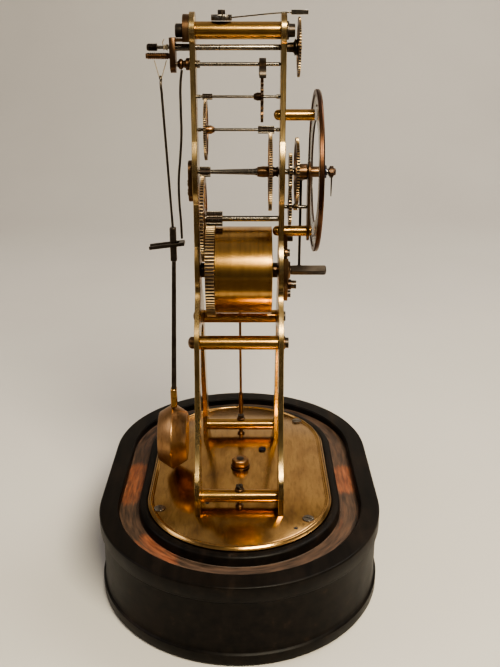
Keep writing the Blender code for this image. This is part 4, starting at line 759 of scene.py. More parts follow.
def make_foot_screw(side):
    """The upright screw through a foot pillar, in its collar above and its sleeve below."""
    node, clear = f"{side}_foot_screw", 4.35
    x, head = middle(node).x, FOOT_PILLAR_Z + clear
    collar = stepped(head, (3.0, head + 0.9), (3.0, head + 1.4, 2.1))
    piece(f"{side}_foot_collar", turned(collar, x, along="Z", steps=40), BROWN_BRASS, "frame", node)
    top = head + 1.45
    screw(f"{side}_foot_screw_head", (x, 0.0, top), (0, 0, 1), 2.3, high(node).z - top, "frame")
    sections = ((2.7, PLATFORM_TOP + 0.8), (2.7, PLATFORM_TOP + 1.2, 1.5), (1.5, FOOT_PILLAR_Z - clear))
    stem = stepped(PLATFORM_TOP, *sections)
    piece(f"{side}_foot_stem", turned(stem, x, along="Z", steps=40), BROWN_BRASS, "frame")


def make_frame():
    dial_holes = [(middle("upper_dial_pillar").z, 1.7), (middle("lower_dial_pillar").z, 1.7)]
    make_plate("front_plate", 16.0, [*dial_holes, (MINUTE_Z, 1.1), (PALLET_Z, 0.9)])
    make_plate("rear_plate", 13.0, [(PALLET_Z, 3.1)])
    pillar("top_pillar", 5.0, 2.7)
    for side in ("left", "right"):
        pillar(f"{side}_mid_pillar", 4.5, 2.0, (FRONT_OUT + 0.2, REAR_OUT - 0.2))
        make_mid_fastenings(side)
        pillar(f"{side}_foot_pillar", 4.3, 2.0)
        make_foot_screw(side)


def make_top_nuts():
    bore = 2.75
    lo, hi = box("top_pillar_front_nut")
    radius, flange = (hi.z - lo.z) / 2, hi.y - 1.0
    collar = [(radius - 1.5, lo.y), (radius - 1.3, flange), (radius, flange), (radius, hi.y)]
    profile = [(bore, lo.y), *collar, (bore, hi.y)]
    mesh = turned(profile, z=TOP_PILLAR_Z)
    piece("top_front_nut_turned", mesh, DARK_STEEL, "frame", "top_pillar_front_nut")
    lo, hi = box("top_pillar_rear_nut")
    radius, soft = (hi.z - lo.z) / 2, 0.6
    profile = [(bore, lo.y), (radius, lo.y), (radius, hi.y - soft), (radius - soft, hi.y), (bore, hi.y)]
    mesh = turned(profile, z=TOP_PILLAR_Z)
    piece("top_rear_nut_turned", mesh, DARK_STEEL, "frame", "top_pillar_rear_nut")


def make_stay_rod():
    """The thin slanting rod between the legs, with a thicker sleeve over its foot."""
    lo, hi = box("stay_rod")
    radius = (hi.y - lo.y) / 2
    top, foot = Vector((lo.x + radius, 0.0, hi.z - 0.1)), Vector((hi.x - radius, 0.0, lo.z + 0.1))
    rod("stay_rod_drawn", (top, foot), radius, BROWN_BRASS, "frame", "stay_rod")
    sleeve = [foot + (top - foot) * share for share in (0.02, 0.13, 0.24)]
    rod("stay_rod_sleeve", sleeve, radius + 0.75, BROWN_BRASS, "frame")


def make_rear_end_plate():
    """The narrow plate screwed over the centre arbor's rear pivot."""
    layer = (REAR_OUT + 0.05, REAR_OUT + 3.0)
    top, bottom, radius = CENTRE_Z + 1.0, CENTRE_Z - 12.6, 6.0
    edge = arc(radius, 0.0, 180.0, 16, (0.0, top)) + arc(radius, 180.0, 360.0, 16, (0.0, bottom))
    mesh = cut_sheet([edge, circle(1.2, 20, (0.0, CENTRE_Z))], layer, 0.4)
    piece("rear_end_plate", mesh, BROWN_BRASS, "frame")
    for number, z in enumerate((CENTRE_Z - 7.0, bottom)):
        screw(f"rear_end_plate_screw_{number}", (0.0, layer[1], z), (0, 1, 0), 2.0, 0.7, "frame")


# ---------------------------------------------------------------- the train's wheels and arbors

TRAIN = ("barrel", "intermediate", "centre", "fourth", "escape")
TEETH = {"barrel": 84, "intermediate": 80, "centre": 96, "fourth": 84}
LEAVES = {"intermediate": 12, "centre": 8, "fourth": 8, "escape": 7}
WHEEL_MODULE, PINION_MODULE = {}, {}
for driver, driven in zip(TRAIN, TRAIN[1:]):
    distance = abs(AXIS[driven].z - AXIS[driver].z)
    WHEEL_MODULE[driver] = PINION_MODULE[driven] = 2 * distance / (TEETH[driver] + LEAVES[driven])


def gear_edge(teeth, module, addendum=0.80, phase=90.0, width=0.225):
    """Finger-shaped teeth. width is half a tooth at the pitch circle, as a share of the pitch."""
    pitch_radius = teeth * module / 2
    root, tip, pitch = pitch_radius - 1.05 * module, pitch_radius + addendum * module, 360.0 / teeth
    shoulder = pitch_radius + 0.45 * addendum * module
    shape = [(root, width + 0.035), (pitch_radius, width), (shoulder, width * 0.80), (tip, width * 0.32)]
    points = []
    for number in range(teeth):
        centre = phase + number * pitch
        points += [polar(radius, centre - side * pitch) for radius, side in shape]
        points += [polar(radius, centre + side * pitch) for radius, side in reversed(shape)]
    return points


def crossings(count, inner, outer, arm_half_width):
    """The openings between a wheel's arms."""
    loops = []
    inner_side = math.degrees(math.asin(arm_half_width / inner))
    outer_side = math.degrees(math.asin(arm_half_width / outer))
    for number in range(count):
        start, end = 360.0 * number / count, 360.0 * (number + 1) / count
        outside = arc(outer, start + outer_side, end - outer_side, 14)
        loops.append(outside + arc(inner, end - inner_side, start + inner_side, 6))
    return loops


def gap_towards(teeth, direction):
    return direction + 180.0 / teeth


def wheel(body, bore, arms, rim, arm_half_width, hub):
    """A crossed-out wheel of the train, in its node's layer."""
    node, teeth, module, z = f"{body}_wheel", TEETH[body], WHEEL_MODULE[body], AXIS[body].z
    edge = gear_edge(teeth, module, phase=gap_towards(teeth, 90.0))
    loops = [edge, circle(bore, 24), *crossings(arms, hub, rim, arm_half_width)]
    mesh = cut_sheet(loops, (low(node).y, high(node).y), 0.07, z=z)
    piece(f"{node}_cut", mesh, WHEEL_BRASS, body, node)
    teeth_shade_and_highlight(mesh, teeth * module / 2 + 0.5 * module, z)


def arbor(node, body, *sections):
    """A turned arbor from its node's front end through the sections. The last radius runs to its rear end."""
    *sections, last_radius = sections
    profile = stepped(low(node).y, *sections, (last_radius, high(node).y))
    piece(f"{node}_turned", turned(profile, z=AXIS[body].z, steps=40, chamfer=0.08), STEEL, body, node)


def pinion(body, near, far):
    """The cut leaves of a pinion."""
    leaves, module, z = LEAVES[body], PINION_MODULE[body], AXIS[body].z
    mesh = cut_sheet([gear_edge(leaves, module, 0.72, -90.0, 0.19)], (near, far), 0.12, z=z)
    piece(f"{body}_pinion", mesh, STEEL, body)
    teeth_shade_and_highlight(mesh, leaves * module / 2, z, 0.6, STEEL)


def collet(body, radius, near, far, taper, material=BROWN_BRASS):
    """The brass seat that carries a wheel on its arbor."""
    side = [(radius, near), (radius * 1.05, (near + far) / 2), (radius * taper, far)]
    profile = [(0.0, near), *side, (0.0, far)]
    piece(f"{body}_collet", turned(profile, z=AXIS[body].z, steps=40, chamfer=0.1), material, body)


def make_intermediate():
    near, far = 10.5, 20.6
    sections = ((1.3, FRONT_IN + 0.3), (1.8, far), (2.4, REAR_IN - 0.3))
    arbor("intermediate_arbor", "intermediate", *sections, 1.3)
    pinion("intermediate", near, far)
    wheel("intermediate", 2.45, 5, 22.6, 1.4, 6.0)


def make_centre():
    front, rear = low("centre_wheel").y, high("centre_wheel").y
    sections = [(1.0, -31.0), (1.7, FRONT_IN + 0.4), (2.4, rear + 7.0)]
    sections += [(2.4, rear + 9.0, 1.95), (1.95, 17.0, 1.3), (1.3, REAR_IN - 0.3)]
    arbor("centre_arbor", "centre", *sections, 1.0)
    pinion("centre", 17.6, 24.2)
    wheel("centre", 2.5, 5, 20.4, 1.2, 5.6)
    collet("centre", 3.3, rear, rear + 7.0, 0.92)
    waisted = [(3.4, front - 4.0), (2.6, front - 2.2), (3.4, front - 0.6), (3.4, front)]
    hub = [(0.0, front - 4.0), *waisted, (0.0, front)]
    piece("centre_hub", turned(hub, z=CENTRE_Z, steps=40), DARK_STEEL, "centre")


def make_fourth():
    sections = [(0.7, FRONT_IN + 0.3), (1.2, FRONT_IN + 2.2), (0.9, REAR_IN - 2.2), (1.2, REAR_IN - 0.3)]
    arbor("fourth_arbor", "fourth", *sections, 0.7)
    pinion("fourth", -21.7, -11.8)
    wheel("fourth", 1.75, 5, 15.2, 0.95, 4.4)
    front = low("fourth_wheel").y
    collet("fourth", 2.5, front, front - 4.6, 0.6)


def escape_edge(teeth, tip, root):
    """Pointed teeth with an undercut front, as an anchor escapement has."""
    pitch = 360.0 / teeth
    points = []
    for number in range(teeth):
        start = 90.0 + number * pitch
        points += arc(root, start, start + 0.42 * pitch, 3)
        points += [polar(root + (tip - root) * 0.45, start + 0.66 * pitch)]
        points += [polar(tip, start + 0.90 * pitch), polar(tip, start + 0.96 * pitch)]
    return points


def make_escape():
    sections = [(0.6, FRONT_IN + 0.3), (1.3, FRONT_IN + 2.4), (0.8, REAR_IN - 2.0), (1.1, REAR_IN - 0.3)]
    arbor("escape_arbor", "escape", *sections, 0.6)
    pinion("escape", 15.7, 21.7)
    front, rear = low("escape_wheel").y, high("escape_wheel").y
    loops = [escape_edge(25, 15.0, 12.3), circle(1.65, 20), *crossings(4, 3.8, 10.8, 0.85)]
    mesh = cut_sheet(loops, (front, rear), 0.07, z=ESCAPE_Z)
    piece("escape_wheel_cut", mesh, BROWN_BRASS, "escape", "escape_wheel")
    teeth_shade_and_highlight(mesh, 13.4, ESCAPE_Z, tip=BROWN_BRASS)
    collet("escape", 2.3, rear, rear + 4.2, 0.7, DARK_BRASS)


# ---------------------------------------------------------------- barrel and winding


def make_barrel():
    """The drum with a turned groove near each end, its cover and the great wheel."""
    lo, hi = box("barrel_drum")
    front, rear, radius = lo.y, hi.y, (hi.z - lo.z) / 2
    bore, inside, skin, floor = 4.3, radius - 1.2, radius - 0.02, front + 1.6
    drum = [
        (bore, front), (radius * 0.45, front), (radius * 0.45, front + 0.25),
        (radius - 2.5, front + 0.25), (radius - 2.5, front), (radius - 0.3, front), (skin, front + 0.3),
        (skin, front + 1.6), (radius - 0.22, front + 1.7), (radius - 0.22, front + 1.9), (skin, front + 2.0),
        (skin, rear - 2.4), (radius - 0.25, rear - 2.3), (radius - 0.25, rear - 1.9), (skin, rear - 1.8),
        (skin, rear), (inside, rear), (inside, floor), (bore, floor),
    ]
    mesh = turned(drum, z=BARREL_Z, steps=128, chamfer=0.0)
    piece("barrel_drum_turned", mesh, BARREL_BRASS, "barrel", "barrel_drum")
    cover = low("barrel_cover").y
    lid = [(bore, cover), (inside - 0.1, cover), (inside - 0.1, cover + 1.6), (bore, cover + 1.6)]
    piece("barrel_cover_turned", turned(lid, z=BARREL_Z, steps=96), BARREL_BRASS, "barrel", "barrel_cover")
    teeth, module = TEETH["barrel"], WHEEL_MODULE["barrel"]
    edge = gear_edge(teeth, module, 0.72, gap_towards(teeth, 90.0), 0.25)
    layer = (low("great_wheel").y, high("great_wheel").y)
    mesh = cut_sheet([edge, circle(bore, 32)], layer, 0.10, z=BARREL_Z)
    piece("great_wheel_cut", mesh, TURNED_BRASS, "barrel", "great_wheel")
    teeth_shade_and_highlight(mesh, (teeth + 1) / 2 * module, BARREL_Z)
    mainspring = frame["nodes"]["mainspring"].data
    mainspring.materials.clear()
    mainspring.materials.append(BLUED_STEEL)


def make_winding():
    """The winding arbor with its square, the ratchet wheel and a cap over it."""
    lo, hi = low("barrel_arbor").y, high("barrel_arbor").y
    seat_end = -33.4
    sections = [(2.9, FRONT_OUT - 0.2), (3.1, FRONT_IN + 0.3), (4.8, FRONT_IN + 3.6)]
    sections += [(4.8, FRONT_IN + 3.9, 4.0)]
    sections += [(4.0, REAR_IN - 3.8), (4.8, REAR_IN - 0.3), (3.1, hi)]
    mesh = turned(stepped(seat_end, *sections), z=BARREL_Z, steps=40, chamfer=0.08)
    piece("winding_arbor_turned", mesh, DARK_STEEL, "winding", "barrel_arbor")
    square = circle(3.3, 4)
    tapered = [(lo, 0.72), (lo + 0.7, 1.0), (seat_end, 1.0), (seat_end + 0.05, 0.9)]

    def build(work):
        rings = [
            [vertex(work, x * share, y, BARREL_Z + z * share) for x, z in square]
            for y, share in tapered
        ]
        skinned(work, rings, capped=True)

    piece("winding_square", meshed(build, 0.25), DARK_STEEL, "winding")
    front, rear = low("ratchet_wheel").y, high("ratchet_wheel").y
    teeth, root, tip, bore = 24, 10.3, 12.0, 2.95
    pitch = 360.0 / teeth
    edge = []
    for number in range(teeth):
        valley = 89.4 + number * pitch
        edge += [polar(root, valley), polar(tip - 0.2, valley + 0.8 * pitch)]
        edge.append(polar(tip, valley + pitch - 0.8))
    mesh = cut_sheet([edge, circle(bore, 24)], (front, rear), 0.12, z=BARREL_Z)
    piece("ratchet_wheel_cut", mesh, DARK_STEEL, "winding", "ratchet_wheel")
    cap = [(bore, front - 2.4), (5.4, front - 2.4), (6.2, front - 0.9), (6.2, front), (bore, front)]
    piece("ratchet_cap", turned(cap, z=BARREL_Z, steps=48), BROWN_BRASS, "winding")


def make_click():
    """The click, the flat spring that presses on it, its screws and post, and a stop above the ratchet."""
    forward = (0, -1, 0)
    softened("click", BROWN_BRASS, "click", 0.2)
    pivot = AXIS["click"]
    screw("click_screw", (pivot.x, low("click").y, pivot.z), forward, 2.3, 1.5, "click", DARK_STEEL, 0.9)
    outline = [
        (-9.6, -17.7), (-5.4, -17.7), (-9.3, -9.9), (-11.7, -6.5), (-12.8, -2.0), (-12.8, 3.4), (-14.6, 5.2),
        (-13.6, 11.4), (-14.1, 11.7), (-15.6, 5.0), (-16.0, 0.0), (-15.4, -6.0), (-13.4, -12.0),
    ]
    face, back = FRONT_OUT - 2.7, FRONT_OUT - 0.05
    piece("click_spring", cut_sheet([outline], (face, back), 0.25, z=BARREL_Z), BROWN_BRASS, "frame")
    post_x, post_z, post_face = -12.6, BARREL_Z - 5.8, face - 2.0
    post = turned(stepped(face, (3.3, post_face)), post_x, post_z, steps=40)
    piece("click_spring_post", post, DARK_BRASS, "frame")
    screw("click_spring_post_screw", (post_x, post_face, post_z), forward, 2.6, 3.2, "frame")
    screw("click_spring_screw", (-9.4, face, BARREL_Z - 13.0), forward, 2.3, 1.9, "frame")
    stop = block((1.2, face, BARREL_Z + 13.4), (7.0, back, BARREL_Z + 22.2), 0.3)
    piece("click_stop", stop, BROWN_BRASS, "frame")
    screw("click_stop_screw", (4.1, face, BARREL_Z + 19.8), forward, 1.7, 3.4, "frame")


# ---------------------------------------------------------------- escapement, suspension and rating


def make_crutch():
    """The pallet arbor and anchor, and the hub, long wire and fork of the crutch."""
    end = high("pallet_arbor").y - 3.6
    sections = [(0.7, FRONT_IN + 0.3), (1.1, REAR_IN - 2.3), (2.2, REAR_IN - 0.3), (1.6, end)]
    arbor("pallet_arbor", "crutch", *sections, 0.7)
    softened("pallet_anchor", DARK_STEEL, "crutch", 0.15)
    lo, hi = box("crutch_hub")
    radius, bore = (hi.z - lo.z) / 2, 1.7
    angles = [math.radians(degrees) for degrees in range(40, 180, 20)]
    profile = [
        (bore, lo.y), (radius, lo.y), (radius, lo.y + 1.9), (2.2, lo.y + 2.5),
        *((0.1 + 3.0 * math.sin(angle), hi.y - 1.9 - 1.9 * math.cos(angle)) for angle in angles),
        (bore, hi.y - 0.1),
    ]
    mesh = turned(profile, z=PALLET_Z, steps=48, chamfer=0.0)
    piece("crutch_hub_turned", mesh, BROWN_BRASS, "crutch", "crutch_hub")
    bends = [
        (33.6, -3.3), (34.6, -11.0), (34.9, -26.0), (34.9, -40.0), (36.0, -54.0),
        (37.4, -68.0), (37.5, -82.0), (36.8, -96.0), (36.6, -105.8),
    ]
    points = [(0.0, y, PALLET_Z + fall) for y, fall in bends]
    rod("crutch_wire_bent", points, 0.75, DARK_STEEL, "crutch", "crutch_wire")
    fork = softened("crutch_fork", DARK_STEEL, "crutch", 0.25).data
    pivot = Matrix.Translation(Vector((0.0, middle("pendulum_block").y, middle("crutch_fork").z)) * MM)
    fork.transform(pivot @ Matrix.Rotation(-math.radians(7.0), 4, "X") @ pivot.inverted())


def make_suspension():
    """The cock, its beaded pin, and the silk loop with the pendulum's hook in its bend."""
    softened("suspension_cock", BROWN_BRASS, "frame")
    lo, hi = box("suspension_pin")
    radius, start, bead = (hi.z - lo.z) / 2, lo.y + 0.8, 1.25
    neck = radius - 0.4
    count = int((hi.y - lo.y - 1.6) / bead)
    profile = [(0.0, lo.y), (neck, lo.y)]
    for number in range(count):
        near = start + number * bead
        profile += [(neck, near), (radius, near + 0.35 * bead), (radius, near + 0.65 * bead)]
    profile += [(neck, start + count * bead), (neck, hi.y), (0.0, hi.y)]
    mesh = turned(profile, z=middle("suspension_pin").z, steps=40, chamfer=0.0)
    piece("suspension_pin_turned", mesh, BROWN_BRASS, "frame", "suspension_pin")
    hang = AXIS["pendulum"].y
    lo, hi = box("suspension_silk")
    bend = lo.z + 0.35
    points = [
        (0.0, lo.y + 0.3, hi.z), (0.0, hang - 0.7, bend + 1.0), (0.0, hang, bend),
        (0.0, hang + 0.7, bend + 1.0), (0.0, hi.y - 0.3, hi.z),
    ]
    corners = range(len(points))
    rod("suspension_silk_loop", points, 0.28, THREAD, "pendulum", "suspension_silk", corners=corners)


def make_rating():
    """The rating arbor with its thread at the rear, and its toothed wheel on a hub in front."""
    radius, hi = 1.7, high("rating_arbor").y
    start, pitch, turns = hi - 6.2, 0.7, 7
    shoulder = REAR_OUT + 12.3
    lo = low("rating_arbor").y
    sections = [(1.2, lo + 0.5, radius), (radius, REAR_OUT + 0.6), (2.0, shoulder), (1.0, start)]
    mesh = turned(stepped(lo, *sections), z=RATING_Z, steps=40, chamfer=0.08)
    piece("rating_arbor_turned", mesh, STEEL, "rating", "rating_arbor")
    thread = []
    for turn in range(turns):
        place = start + turn * pitch
        thread += [(radius, place + 0.1), (2.3, place + 0.35), (2.3, place + 0.45)]
    knob = [(0.0, start - 0.2), *thread, (1.6, hi), (0.0, hi)]
    piece("rating_arbor_thread", turned(knob, z=RATING_Z, steps=40, chamfer=0.0), DARK_STEEL, "rating")
    lo, hi = box("rating_wheel")
    back, teeth, addendum = lo.y + 1.2, 60, 0.8
    module = (hi.z - lo.z) / (teeth + 2 * addendum)
    loops = [gear_edge(teeth, module, addendum), circle(radius, 24), *crossings(4, 6.2, 12.6, 1.2)]
    mesh = cut_sheet(loops, (lo.y, back), 0.1, z=RATING_Z)
    piece("rating_wheel_cut", mesh, BROWN_BRASS, "rating", "rating_wheel")
    teeth_shade_and_highlight(mesh, (teeth + 1) / 2 * module, RATING_Z)
    seat = FRONT_OUT - 0.4
    hub = [
        (radius, back), (5.2, back), (4.2, back + 1.1), (5.0, back + 1.7), (2.9, back + 2.6), (2.7, seat),
        (radius, seat),
    ]
    piece("rating_hub", turned(hub, z=RATING_Z, steps=48), DARK_STEEL, "rating")


def make_silk_winding():
    """The end of the silk, wound a few times round the rating arbor, with its knot standing up."""
    start, width, turns, per_turn = REAR_OUT + 13.0, 2.6, 4, 12
    points = []
    for step in range(turns * per_turn + 1):
        x, up = polar(1.3 + 0.35 * math.sin(step * 0.9), 360.0 * step / per_turn)
        points.append((x, start + width * step / (turns * per_turn), RATING_Z + up))
    points += [(0.6, start + 3.2, RATING_Z + 2.6), (0.3, start + 2.2, RATING_Z + 4.6)]
    rod("silk_winding", points, 0.26, THREAD, "rating", resolution=3)


def make_detent():
    """The knurled thumb nut on its post, and the springy wire whose tip it holds."""
    lo, hi = box("thumb_nut")
    y, radius, ribs = middle("thumb_nut").y, (hi.x - lo.x) / 2, 44

    def knurled(work):
        radii = [radius - (0.0 if step % 2 else 0.28) for step in range(2 * ribs)]
        corners = [polar(out, 180.0 * step / ribs, (0.0, y)) for step, out in enumerate(radii)]
        raise_block(work, corners, lo.z, hi.z - 2.6)

    piece("thumb_nut_knurled", meshed(knurled, 0.12), STEEL, "frame", "thumb_nut")
    post = turned(stepped(hi.z - 2.7, (2.2, hi.z)), along="Z", y=y, steps=40, chamfer=0.3)
    piece("thumb_nut_post", post, DARK_STEEL, "frame")
    pivot, top = AXIS["detent"], hi.z - 0.1
    bends = [(-1.2, -8.0, 358.8), (-2.2, -20.0, 359.9), (-2.3, -27.0, 360.4), (-2.3, -33.0, 360.5)]
    points = [pivot, *((pivot.x + across, y, z) for across, y, z in bends)]
    rod("detent_spring_wire", points, 0.4, STEEL, "detent", "detent_spring")
    lo, hi = box("detent_spring")
    tip = block((lo.x + 0.02, lo.y, top - 2.6), (lo.x + 3.2, lo.y + 9.9, top), 0.3)
    piece("detent_tip", tip, STEEL, "detent")


# ---------------------------------------------------------------- pendulum


def make_pendulum():
    """The hooked wire, the block that the crutch's fork takes, the flat rod and the ferrule above the bob."""
    hang = AXIS["pendulum"].y
    lo, hi = box("pendulum_wire")
    block_low, block_high = box("pendulum_block")
    block_y = (block_low.y + block_high.y) / 2
    hook_z = hi.z - 2.2
    hook = [(x, hang, z) for x, z in arc(1.5, 180.0, -60.0, 8, (0.0, hook_z))]
    route = [*hook, (0.0, hang, hook_z - 3.4), (0.0, hang - 0.3, hook_z - 7.0), (0.0, block_y, lo.z)]
    corners = (len(route) - 2, len(route) - 1)
    rod("pendulum_wire_bent", route, 0.75, DARK_STEEL, "pendulum", "pendulum_wire", corners=corners)
    mesh = block(block_low, block_high, 0.5)
    piece("pendulum_block_finished", mesh, DARK_STEEL, "pendulum", "pendulum_block")
    lo, hi = box("pendulum_rod")
    foot_y = hi.y - 1.6
    sections = [(hi.z, block_y, 1.25, 1.5), (lo.z, foot_y, 1.6, 2.4)]

    def tapered(work):
        rings = []
        for z, y, half_y, half_x in sections:
            corners = ((-half_x, -half_y), (half_x, -half_y), (half_x, half_y), (-half_x, half_y))
            rings.append([vertex(work, across, y + deep, z) for across, deep in corners])
        skinned(work, rings, capped=True)

    piece("pendulum_rod_finished", meshed(tapered, 0.25), DARK_STEEL, "pendulum", "pendulum_rod")
    ferrule = block((-3.0, foot_y - 2.3, lo.z), (3.0, foot_y + 1.9, lo.z + 14.0), 0.5)
    piece("bob_ferrule", ferrule, TURNED_BRASS, "pendulum")


def make_bob():
    """Two flat-faced cones back to back, with a sharp rim and a shallow turned centre on the faces."""
    lo, hi = box("pendulum_bob")
    centre, radius, face = middle("pendulum_bob"), (hi.z - lo.z) / 2, 17.0
    half = [
        (0.0, lo.y + 0.15), (3.0, lo.y + 0.15), (3.4, lo.y), (face - 0.5, lo.y), (face, lo.y + 0.25),
        (radius - 0.15, centre.y - 0.6), (radius, centre.y - 0.3),
    ]
    profile = half + [(around, 2 * centre.y - place) for around, place in reversed(half)]
    mesh = turned(profile, z=centre.z, steps=128, chamfer=0.0)
    piece("pendulum_bob_turned", mesh, SATIN_BRASS, "pendulum", "pendulum_bob")


# ---------------------------------------------------------------- motion work


def make_motion_work():
    """The cannon, minute and hour wheels with their pipes, and the minute arbor with its pinion."""
    quick_teeth, slow_teeth, leaves = 36, 72, 6
    distance = CENTRE_Z - MINUTE_Z
    module, slow_module = distance / quick_teeth, 2 * distance / (slow_teeth + leaves)
    layer = (low("minute_wheel").y, high("minute_wheel").y)
    edge = gear_edge(quick_teeth, module, 0.75, gap_towards(quick_teeth, -90.0))
    mesh = cut_sheet([edge, circle(1.6, 20)], layer, 0.08, z=CENTRE_Z)
    piece("cannon_wheel_cut", mesh, WHEEL_BRASS, "centre", "cannon_wheel")
    teeth_shade_and_highlight(mesh, (quick_teeth + 1) / 2 * module, CENTRE_Z)
    end = low("cannon_wheel").y
    pipe = [(1.3, end), (2.1, end), (2.1, layer[0]), (1.3, layer[0])]
    piece("cannon_pipe", turned(pipe, z=CENTRE_Z, steps=40), STEEL, "centre")
    loops = [gear_edge(quick_teeth, module, 0.75), circle(1.1, 20), *crossings(4, 3.4, 7.8, 0.8)]
    mesh = cut_sheet(loops, layer, 0.08, z=MINUTE_Z)
    piece("minute_wheel_cut", mesh, WHEEL_BRASS, "minute_work", "minute_wheel")
    teeth_shade_and_highlight(mesh, (quick_teeth + 1) / 2 * module, MINUTE_Z)
    arbor("minute_arbor", "minute_work", (0.7, low("minute_arbor").y + 1.8), (1.15, FRONT_OUT - 0.4), 0.8)
    edge = gear_edge(leaves, slow_module, 0.72, -90.0, 0.19)
    piece("minute_pinion", cut_sheet([edge], (-37.4, -34.2), 0.1, z=MINUTE_Z), STEEL, "minute_work")
    layer = (-36.7, -34.9)
    edge = gear_edge(slow_teeth, slow_module, 0.75, gap_towards(slow_teeth, -90.0))
    mesh = cut_sheet([edge, circle(3.0, 24), *crossings(4, 6.6, 17.0, 1.2)], layer, 0.08, z=CENTRE_Z)
    piece("hour_wheel_cut", mesh, WHEEL_BRASS, "hour", "hour_wheel")
    teeth_shade_and_highlight(mesh, (slow_teeth + 1) / 2 * slow_module, CENTRE_Z)
    end, collar = low("hour_wheel").y, low("hour_wheel").y + 8.8
    pipe = [
        (2.5, end), (3.3, end), (3.3, collar), (4.6, collar),
        (4.9, collar + 0.3), (4.9, layer[0]), (2.5, layer[0]),
    ]
    piece("hour_pipe", turned(pipe, z=CENTRE_Z, steps=48), BROWN_BRASS, "hour")


def make_motion_bridge():
    """The bridge in front of the motion work, and the turned stay that hangs beside it."""
    layer = (low("motion_bridge").y, high("motion_bridge").y)
    foot_z = middle("lower_dial_pillar").z
    edge = arc(6.6, -20.0, 200.0, 24, (0.0, CENTRE_Z)) + arc(6.2, 160.0, 380.0, 24, (0.0, foot_z))
    holes = [circle(3.65, 32, (0.0, CENTRE_Z)), circle(3.5, 32, (0.0, foot_z))]
    holes.append(circle(0.85, 20, (0.0, MINUTE_Z)))
    piece("motion_bridge_cut", cut_sheet([edge, *holes], layer), BROWN_BRASS, "frame", "motion_bridge")
    lo, hi = box("bridge_stay")
    place, stem = middle("bridge_stay"), 0.85
    profile = [
        (0.0, hi.z), (1.7, hi.z), (2.0, hi.z - 0.4), (2.0, hi.z - 2.6), (stem, hi.z - 3.2),
        (stem, lo.z + 5.2), (1.5, lo.z + 4.8), (2.0, lo.z + 4.0), (2.0, lo.z + 0.5), (1.6, lo.z), (0.0, lo.z),
    ]
    mesh = turned(profile, place.x, along="Z", y=place.y, steps=32, chamfer=0.0)
    piece("bridge_stay_turned", mesh, DARK_STEEL, "frame", "bridge_stay")


# ---------------------------------------------------------------- dial and hands

NUMERALS = ("XII", "I", "II", "III", "IIII", "V", "VI", "VII", "VIII", "IX", "X", "XI")
GLYPH_WIDTH = {"I": 1.55, "V": 3.6, "X": 3.6}
DIAL_INNER = 31.0


def glyph_strokes(letter):
    """Strokes as (start, end, width), across in millimetres and up from 0 to 1."""
    thick, thin, serif = 0.85, 0.28, 0.22
    foot = GLYPH_WIDTH[letter] / 2 - 0.55

    def serifs(half_width, *places):
        return [((x - half_width, up), (x + half_width, up), serif) for x, up in places]

    if letter == "I":
        return [((0.0, 0.0), (0.0, 1.0), thick), *serifs(0.6, (0.0, 0.0), (0.0, 1.0))]
    if letter == "V":
        strokes = [((-foot, 1.0), (0.0, 0.0), thick), ((foot, 1.0), (0.0, 0.0), thin)]
    else:
        strokes = [((-foot, 1.0), (foot, 0.0), thick), ((foot, 1.0), (-foot, 0.0), thin)]
        strokes += serifs(0.5, (-foot, 0.0), (foot, 0.0))
    return strokes + serifs(0.5, (-foot, 1.0), (foot, 1.0))


def stroke(work, start, end, width, face, depth):
    """A flat bar between two points of the dial, standing just proud of its face."""
    start, end = Vector(start), Vector(end)
    along = (end - start).normalized()
    side = Vector((-along.y, along.x)) * width / 2
    corners = [start + side, end + side, end - side, start - side]
    rings = [[vertex(work, c.x, level, CENTRE_Z + c.y) for c in corners] for level in (face, face - depth)]
    skinned(work, rings, capped=True)


def make_dial():
    """The enamelled ring, dished a little on its face, with counter enamel behind."""
    lo, hi = box("dial_ring")
    rim, face, back, inner, crown = (hi.z - lo.z) / 2, lo.y, hi.y, DIAL_INNER, 0.35
    shares = [step / 10 for step in range(11)]
    dish = [(inner + (rim - inner) * share, face + crown * (2 * share - 1) ** 2) for share in shares]
    mesh = turned([*dish, (rim, back), (inner, back)], z=CENTRE_Z, steps=144, chamfer=0.0)
    piece("dial_enamel_ring", mesh, DIAL_ENAMEL, "frame", "dial_ring")
    mesh.materials.append(COUNTER_ENAMEL)
    mesh.materials.append(DIRT_AND_SHADE)
    for side in mesh.polygons:
        away = math.hypot(side.center.x / MM, side.center.z / MM - CENTRE_Z)
        # The inner wall of the opening takes the near-black gap colour as painted shade.
        side.material_index = 1 if side.normal.y > 0.7 else 2 if away < inner + 0.1 else 0


def make_dial_rivets():
    back = high("dial_ring").y
    for name, z in (("upper", CENTRE_Z + 40.0), ("lower", CENTRE_Z - 40.0)):
        head = [(0.0, back), (0.75, back), (0.6, back + 0.4), (0.0, back + 0.5)]
        piece(f"dial_{name}_rivet", turned(head, -3.5, z, steps=24, chamfer=0.0), DARK_STEEL, "frame")


